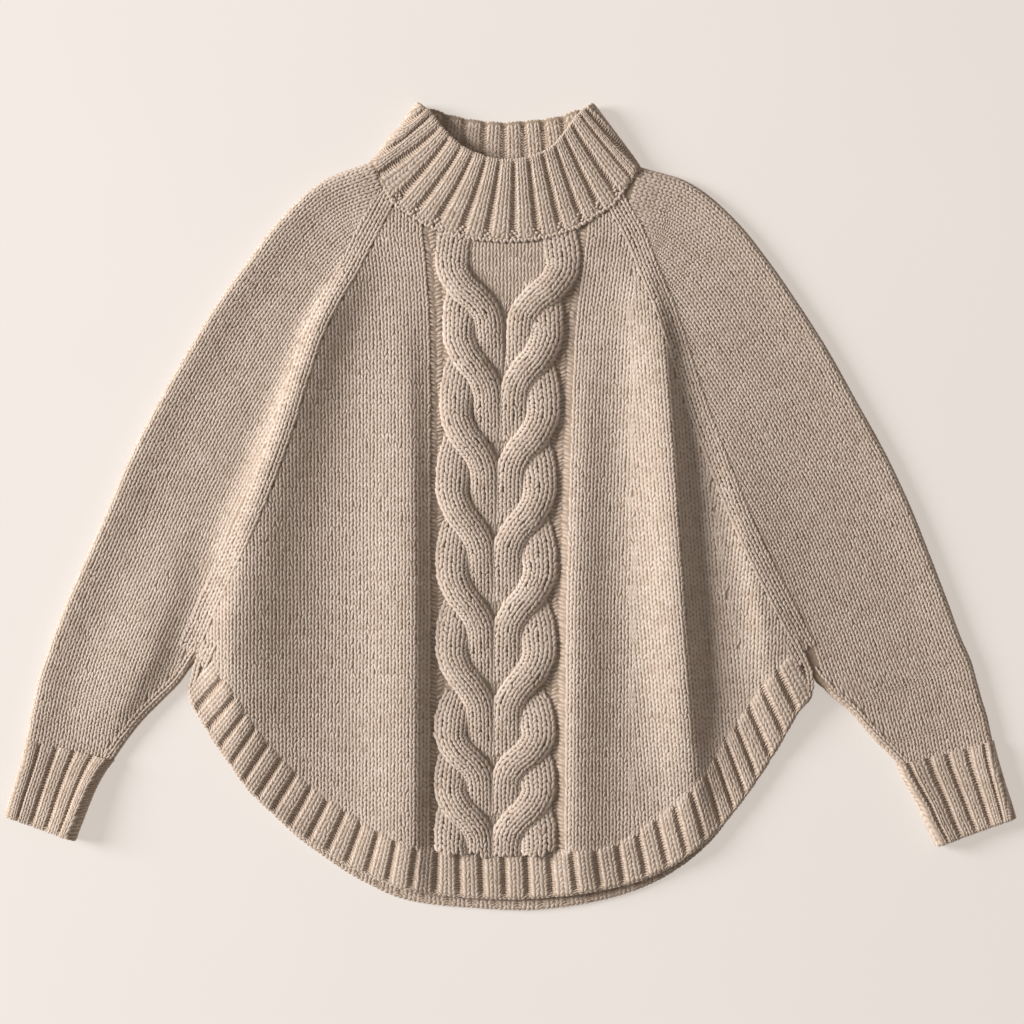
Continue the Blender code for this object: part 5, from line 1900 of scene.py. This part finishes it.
@dataclass
class Hem:
    """A rounded ribbed hem band, front or back."""

    wool: Wool
    front: bool
    rows: int = 14
    cells: int = 390
    ridge: float = 6.0
    trough: float = 2.6

    def plan(self) -> Array:
        """Grid of board points from the rib tops to just short of the edge."""
        share = even(self.cells)
        columns = np.linspace(*RIB_ENDS, 200)
        top_line = at_x(RIB_TOP, columns)
        if not self.front:
            top_line[:, 1] += BACK_LET_DOWN * np.sqrt(np.sin(math.pi * np.linspace(0, 1, 200)))
        run = run_of(top_line)
        top = np.stack([np.interp(share * run[-1], run, top_line[:, k]) for k in (0, 1)], -1)
        low = along(HEM_FRONT if self.front else HEM_BACK, share)
        reach = np.linalg.norm(low - top, axis=1, keepdims=True)
        top = top + (low - top) / reach * 1.5 * SEAM
        low = low - (low - top) / reach * 2.4
        t = even(self.rows)[:, None, None]
        plan = (1.0 - t) * top[None] + t * low[None]
        for column, point in ((0, UNDERARM_LEFT), (-1, UNDERARM_RIGHT)):
            edge = plan[:, column]
            corners = np.array([edge[0], point, edge[-1]])
            at = run_of(corners)
            at = at / at[-1]
            bent = np.stack([np.interp(t[:, 0, 0], at, corners[:, k]) for k in (0, 1)], -1)
            away = np.linalg.norm(plan[0] - plan[0, column], axis=1)
            ease = np.exp(-((away / EDGE_EASE) ** 2))
            plan = plan + ease[None, :, None] * (bent - edge)[:, None]
        return plan

    def build(self) -> None:
        plan = self.plan()
        t = even(self.rows)
        share = np.tile(even(self.cells), (self.rows + 1, 1))
        table = np.array(HEM_TROUGHS)
        if not self.front:
            table[:, 0] += 0.45
        troughs = [tuple(row) for row in table]
        rib = rib_number(share, t, troughs)
        base = np.zeros(share.shape)
        if self.front:
            base = front_top(plan[..., 0], plan[..., 1]) - CLOTH
        thick = rib_height(rib, self.ridge,
                           trough_height(t, self.ridge, self.trough)[:, None])
        if self.front:     # the ribs grow out of the plain knitting
            begun = np.clip(t / 0.17, 0.0, 1.0)[:, None]
            thick = CLOTH + (thick - CLOTH) * begun * begun * (3.0 - 2.0 * begun)
        else:
            thick = np.minimum(thick, CLOTH)
        outer = upright(np.dstack((plan, base + thick - 0.6)))
        inner = upright(np.dstack((plan, base)))
        outer, inner = rolled_edge(outer, inner)
        name = "hem_front" if self.front else "hem_back"
        cloth = ClothWall(f"{name}_cloth", outer, inner).build(self.wool.core,
                                                              self.wool.reverse)
        over = np.concatenate((outer, inner[::-1][:4]))
        lay = GridLay(over, share[0], troughs, self.rows)
        work = StitchWork(f"{name}_stitches", 41 if self.front else 42)
        last = lay.course_of(self.rows + 8.5)
        rib_stitches(work, lay, np.arange(-2.0, 35.0),
                     np.arange(0.1 if self.front else 5.1, last))
        bind_off(work, lay, np.array([-2.0, 34.0]), lay.course_of(self.rows + 3.5))
        if self.front:
            self.side_wales(work)
        on_it = [work.build(self.wool.strand)]
        declare(cloth, on_it, name)

    @staticmethod
    def side_wales(work: StitchWork) -> None:
        """A smooth wale down each end of the band, and a short one beside it."""
        for top, point, low, turn in ((RIB_TOP[0], UNDERARM_LEFT, HEM_FRONT[0], -1.0),
                                      (RIB_TOP[-1], UNDERARM_RIGHT, HEM_FRONT[-1], 1.0)):
            lay = SeamLay(Line([top, point, low], 60), WALE, 1.2)
            for wale, last in ((0.5, lay.line.length / COURSE), (1.5, 4.5)):
                courses = np.arange(0.0, last)
                work.lay(lay, KNIT, np.full(len(courses), turn * wale), courses)


@dataclass
class Sleeve:
    """A raglan sleeve, from the collar down to its cuff."""

    wool: Wool
    pattern: Pattern
    side: Side
    top_cells: int = 26
    under_cells: int = 8
    curl_cells: int = 4
    row_step: float = 0.125
    under_cuff: float = 3.5      # how far the sleeve's stitches run on under the cuff
    round_edge: float = -2.5     # first wale, on the underside of the folded edge
    low_rope: float = 9.5        # width of the raglan's own wales near its end

    @property
    def table(self) -> Rows:
        """The sleeve's sections."""
        return SLEEVES[self.side]

    def section(self, row: Array, back_seam: Array, closing: float) -> Pair:
        """Outer and inner points of one section, front seam round to back seam.

        Args:
            row: Front seam and outer edge of the section.
            back_seam: Board point of the back seam.
            closing: 0 where the sleeve joins the body, 1 where it is a tube.

        Returns:
            Outer points and inner points on the board.
        """
        low = CLOTH / 2.0
        seam, edge = row[:2], row[2:]
        outward, back_outward = unit(edge - seam), unit(edge - back_seam)
        puff = SLEEVE_PUFF[self.side]
        high_edge = float(front_top(edge[0], edge[1])) - CLOTH / 2.0 + puff
        fold_middle, fold_normal, centre = roll(edge, outward, low, high_edge, False)
        # The two edges curl toward each other where the sleeve is a tube.
        high_seam = float(front_top(seam[0], seam[1])) - CLOTH / 2.0
        radius = (high_seam - low) / 2.0
        inset = SEAM + 2.5 + (radius + CLOTH / 2.0 - SEAM - 2.5) * closing
        turn = math.radians(86.0) * closing * np.linspace(1.0, 0.0, self.curl_cells + 1)[:-1]
        flat = 2.5 * (1.0 - closing) * np.linspace(1.0, 0.0, self.curl_cells + 1)[:-1]
        arc = (radius * np.sin(turn) + flat)[:, None]
        drop = (radius * (1.0 - np.cos(turn)))[:, None]
        lean, stand = np.sin(turn)[:, None], np.cos(turn)[:, None]
        start = seam + outward * inset
        curl = np.hstack((start - outward * arc, high_seam - drop))
        curl_normal = np.hstack((-outward * lean, stand))
        share = even(self.top_cells)[:, None]
        line = start + (centre - start) * share
        high = front_top(line[:, 0], line[:, 1]) - CLOTH / 2.0
        high = high + edge_puff(np.linalg.norm(line - centre, axis=1), puff)
        top = np.hstack((line, high[:, None]))
        back_start = back_seam + back_outward * inset
        back_curl = np.hstack((back_start - back_outward * arc, low + drop))[::-1]
        back_share = even(self.under_cells)[1:][:, None]
        back_line = centre + (back_start - centre) * back_share
        back = np.hstack((back_line, np.full((len(back_line), 1), low)))
        middle = np.vstack((curl, top[:-1], fold_middle, back, back_curl))
        normal = np.vstack((curl_normal, np.tile((0.0, 0.0, 1.0), (self.top_cells, 1)),
                            fold_normal, np.tile((0.0, 0.0, -1.0), (self.under_cells, 1)),
                            np.hstack((-back_outward * lean, -stand))[::-1]))
        lower = np.clip(normal[:, 2:] * 4.0 + 1.0, 0.0, 1.0)
        outer = middle + normal * (CLOTH / 2.0 - (SINK - 0.1) * lower)
        return outer, middle - normal * (CLOTH / 2.0)

    def cloth(self) -> Object:
        """The sleeve's core wall."""
        rows = np.arange(0.0, len(self.table) - 1.0 + 0.01, self.row_step)
        back = seam_lines(self.side, rows)[1]
        closing = np.clip((rows - UNDERARM_SECTION) / 0.6, 0.0, 1.0)
        made = [self.section(*given)
                for given in zip(at_rows(self.table, rows), back, closing)]
        outer = upright(np.array([part[0] for part in made]))
        inner = upright(np.array([part[1] for part in made]))
        outer[..., 2] = np.maximum(outer[..., 2], 0.0)
        return ClothWall(f"sleeve_{self.side.name.lower()}_cloth", outer, inner).build(
            self.wool.core, self.wool.reverse)

    def bounds(self, rope: float) -> list[Bound]:
        """Bounds of the sleeve's own wales.

        Args:
            rope: Width of the wales that follow the raglan.

        Returns:
            The bounds at the raglan, underarm, neck and cuff.
        """
        raglan = Line([row[:2] for row in self.table])
        cuff = CUFFS[self.side][0]
        cuff_line = Line([cuff[:2], tuple(np.mean([cuff[:2], cuff[2:]], axis=0)), cuff[2:]])
        keep = Edge.RIGHT_OF if self.side is Side.LEFT else Edge.LEFT_OF
        return [
            Bound(raglan, keep, rope),
            Bound(self.pattern.neck, Edge.RIGHT_OF, 0.0),
            Bound(cuff_line, keep, -self.under_cuff),
        ]

    def stitches(self) -> Object:
        """The sleeve's plain knitting and the wales that follow the raglan."""
        edge = Line([row[2:] for row in self.table])
        lay = SleeveLay(edge, self.side, SLEEVE_PUFF[self.side])
        work = StitchWork(f"sleeve_{self.side.name.lower()}_stitches",
                          51 if self.side is Side.LEFT else 52)
        courses = np.arange(0.5, edge.length / COURSE + 8.0)
        p, q = stitch_grid(np.arange(self.round_edge, 27.0), courses)
        y = lay.plan(p, q)[1]
        rope = 19.5 if self.side is Side.LEFT else 11.5
        mask = kept(lay, p, q, self.bounds(rope))
        mask |= (kept(lay, p, q, self.bounds(self.low_rope))
                 & (y > self.table[RAGLAN_END][1] + 4.0))
        work.lay(lay, KNIT, p[mask], q[mask])
        self.rope(work)
        self.underarm(work)
        return work.build(self.wool.strand)

    def underarm(self, work: StitchWork) -> None:
        """Wales along the underarm seam: one bold on top, two round the edge."""
        seam = Line([row[:2] for row in self.table[UNDERARM_SECTION:]], 80)
        lay = SleeveLay(seam, Side(-self.side.value), 0.0)
        courses = np.arange(-0.5, seam.length / COURSE + 0.5)
        for wale, high in ((-0.5, 1.0), (0.5, 1.0), (1.45, 1.5)):
            work.lay(lay, KNIT, np.full(len(courses), wale), courses, high=high)

    def rope(self, work: StitchWork) -> None:
        """Three bold wales that run down beside the raglan decreases."""
        left = self.side is Side.LEFT
        raglan = self.pattern.raglan_left if left else self.pattern.raglan_right
        lay = SeamLay(raglan, WALE, 0.5)
        wales = np.array([0.5, 1.5, 2.5]) if left else np.array([1.0, 0.0, -1.0]) - 0.45
        p, q = stitch_grid(wales, np.arange(-5.2, raglan.length / COURSE + 2.0))
        mask = kept(lay, p, q, [Bound(self.pattern.neck, Edge.RIGHT_OF, -0.5)]) | (q > 8.0)
        work.lay(lay, KNIT, p[mask], q[mask], high=1.25)

    def build(self) -> None:
        cloth = self.cloth()
        declare(cloth, [self.stitches()], f"sleeve_{self.side.name.lower()}")


# ---- studio
@dataclass
class Studio:
    """The pale board, soft light from the left, and the camera overhead."""

    lens_mm: float = 100.0
    sensor_mm: float = 36.0
    frame_mm: float = 1024.0
    aim_px: tuple[float, float] = (512.0, 512.0)
    aim_height: float = 8.0
    window_height_deg: float = 22.0
    window_turn_deg: float = 12.0     # above due left, seen from overhead
    window_away: float = 9.0
    window_size: float = 3.9
    window_strength: float = 5.8      # on a sheet that faces it, watts a square metre
    window: str = "FFFCFA"
    sky: str = "FFF5ED"
    sky_strength: float = 0.26

    def floor(self) -> None:
        """A wide level board a hair under the cloth."""
        side = np.linspace(-30000.0, 30000.0, 3)
        x, y = np.meshgrid(side, side)
        points = np.stack((x.ravel(), y.ravel(), np.full(9, -0.4)), axis=-1)
        index = np.arange(9).reshape(3, 3)
        faces = np.stack((index[:-1, :-1], index[:-1, 1:], index[1:, 1:], index[1:, :-1]),
                         axis=-1).reshape(-1, 4)
        mesh = mesh_from("floor", points, [faces])
        mesh.materials.append(CreamPaper().build())
        placed("floor", mesh)

    def lights(self) -> None:
        """A wide soft window low on the left, far off, and an even sky."""
        lamp = bpy.data.lights.new("window", "AREA")
        lamp.shape = "DISK"
        lamp.size = self.window_size
        lamp.energy = self.window_strength * math.pi * self.window_away ** 2
        lamp.color = linear(self.window)[:3]
        thing = placed("window", lamp)
        tilt = math.radians(90.0 - self.window_height_deg)
        turn = math.radians(180.0 - self.window_turn_deg)
        away = Vector((math.cos(turn) * math.sin(tilt), math.sin(turn) * math.sin(tilt),
                       math.cos(tilt)))
        thing.location = away * self.window_away
        thing.rotation_euler = away.to_track_quat("Z", "Y").to_euler()
        world = bpy.data.worlds.new("room")
        bpy.context.scene.world = world
        world.use_nodes = True
        back = world.node_tree.nodes["Background"]
        back.inputs["Color"].default_value = linear(self.sky)
        back.inputs["Strength"].default_value = self.sky_strength

    def camera(self) -> None:
        """Straight down, so that one photograph pixel is one millimetre."""
        data = bpy.data.cameras.new("overhead")
        data.lens = self.lens_mm
        data.sensor_width = self.sensor_mm
        data.clip_start, data.clip_end = 0.05, 50.0
        thing = placed("overhead", data)
        away = self.frame_mm * self.lens_mm / self.sensor_mm
        thing.location = (
            (self.aim_px[0] - BOARD_CENTRE[0]) * MM,
            (BOARD_CENTRE[1] - self.aim_px[1]) * MM,
            (self.aim_height + away) * MM,
        )
        bpy.context.scene.camera = thing

    def build(self) -> None:
        """Sets up the room."""
        self.floor()
        self.lights()
        self.camera()
        view = bpy.context.scene.view_settings
        view.view_transform = "Standard"
        view.look = "None"


def main() -> None:
    """Builds the sweater's pieces in order and reports each."""
    logging.basicConfig(level=logging.INFO, format="%(name)s: %(message)s")
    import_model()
    Studio().build()
    wool, pattern = Wool(), Pattern()
    BackPanel(wool).build()
    FrontPanel(pattern, wool).build()
    Sleeve(wool, pattern, Side.LEFT).build()
    Sleeve(wool, pattern, Side.RIGHT).build()
    Hem(wool, front=False).build()
    Hem(wool, front=True).build()
    Collar(wool, pattern).build()
    Cuff(wool, Side.LEFT).build()
    Cuff(wool, Side.RIGHT).build()


if __name__ == "__main__":
    main()
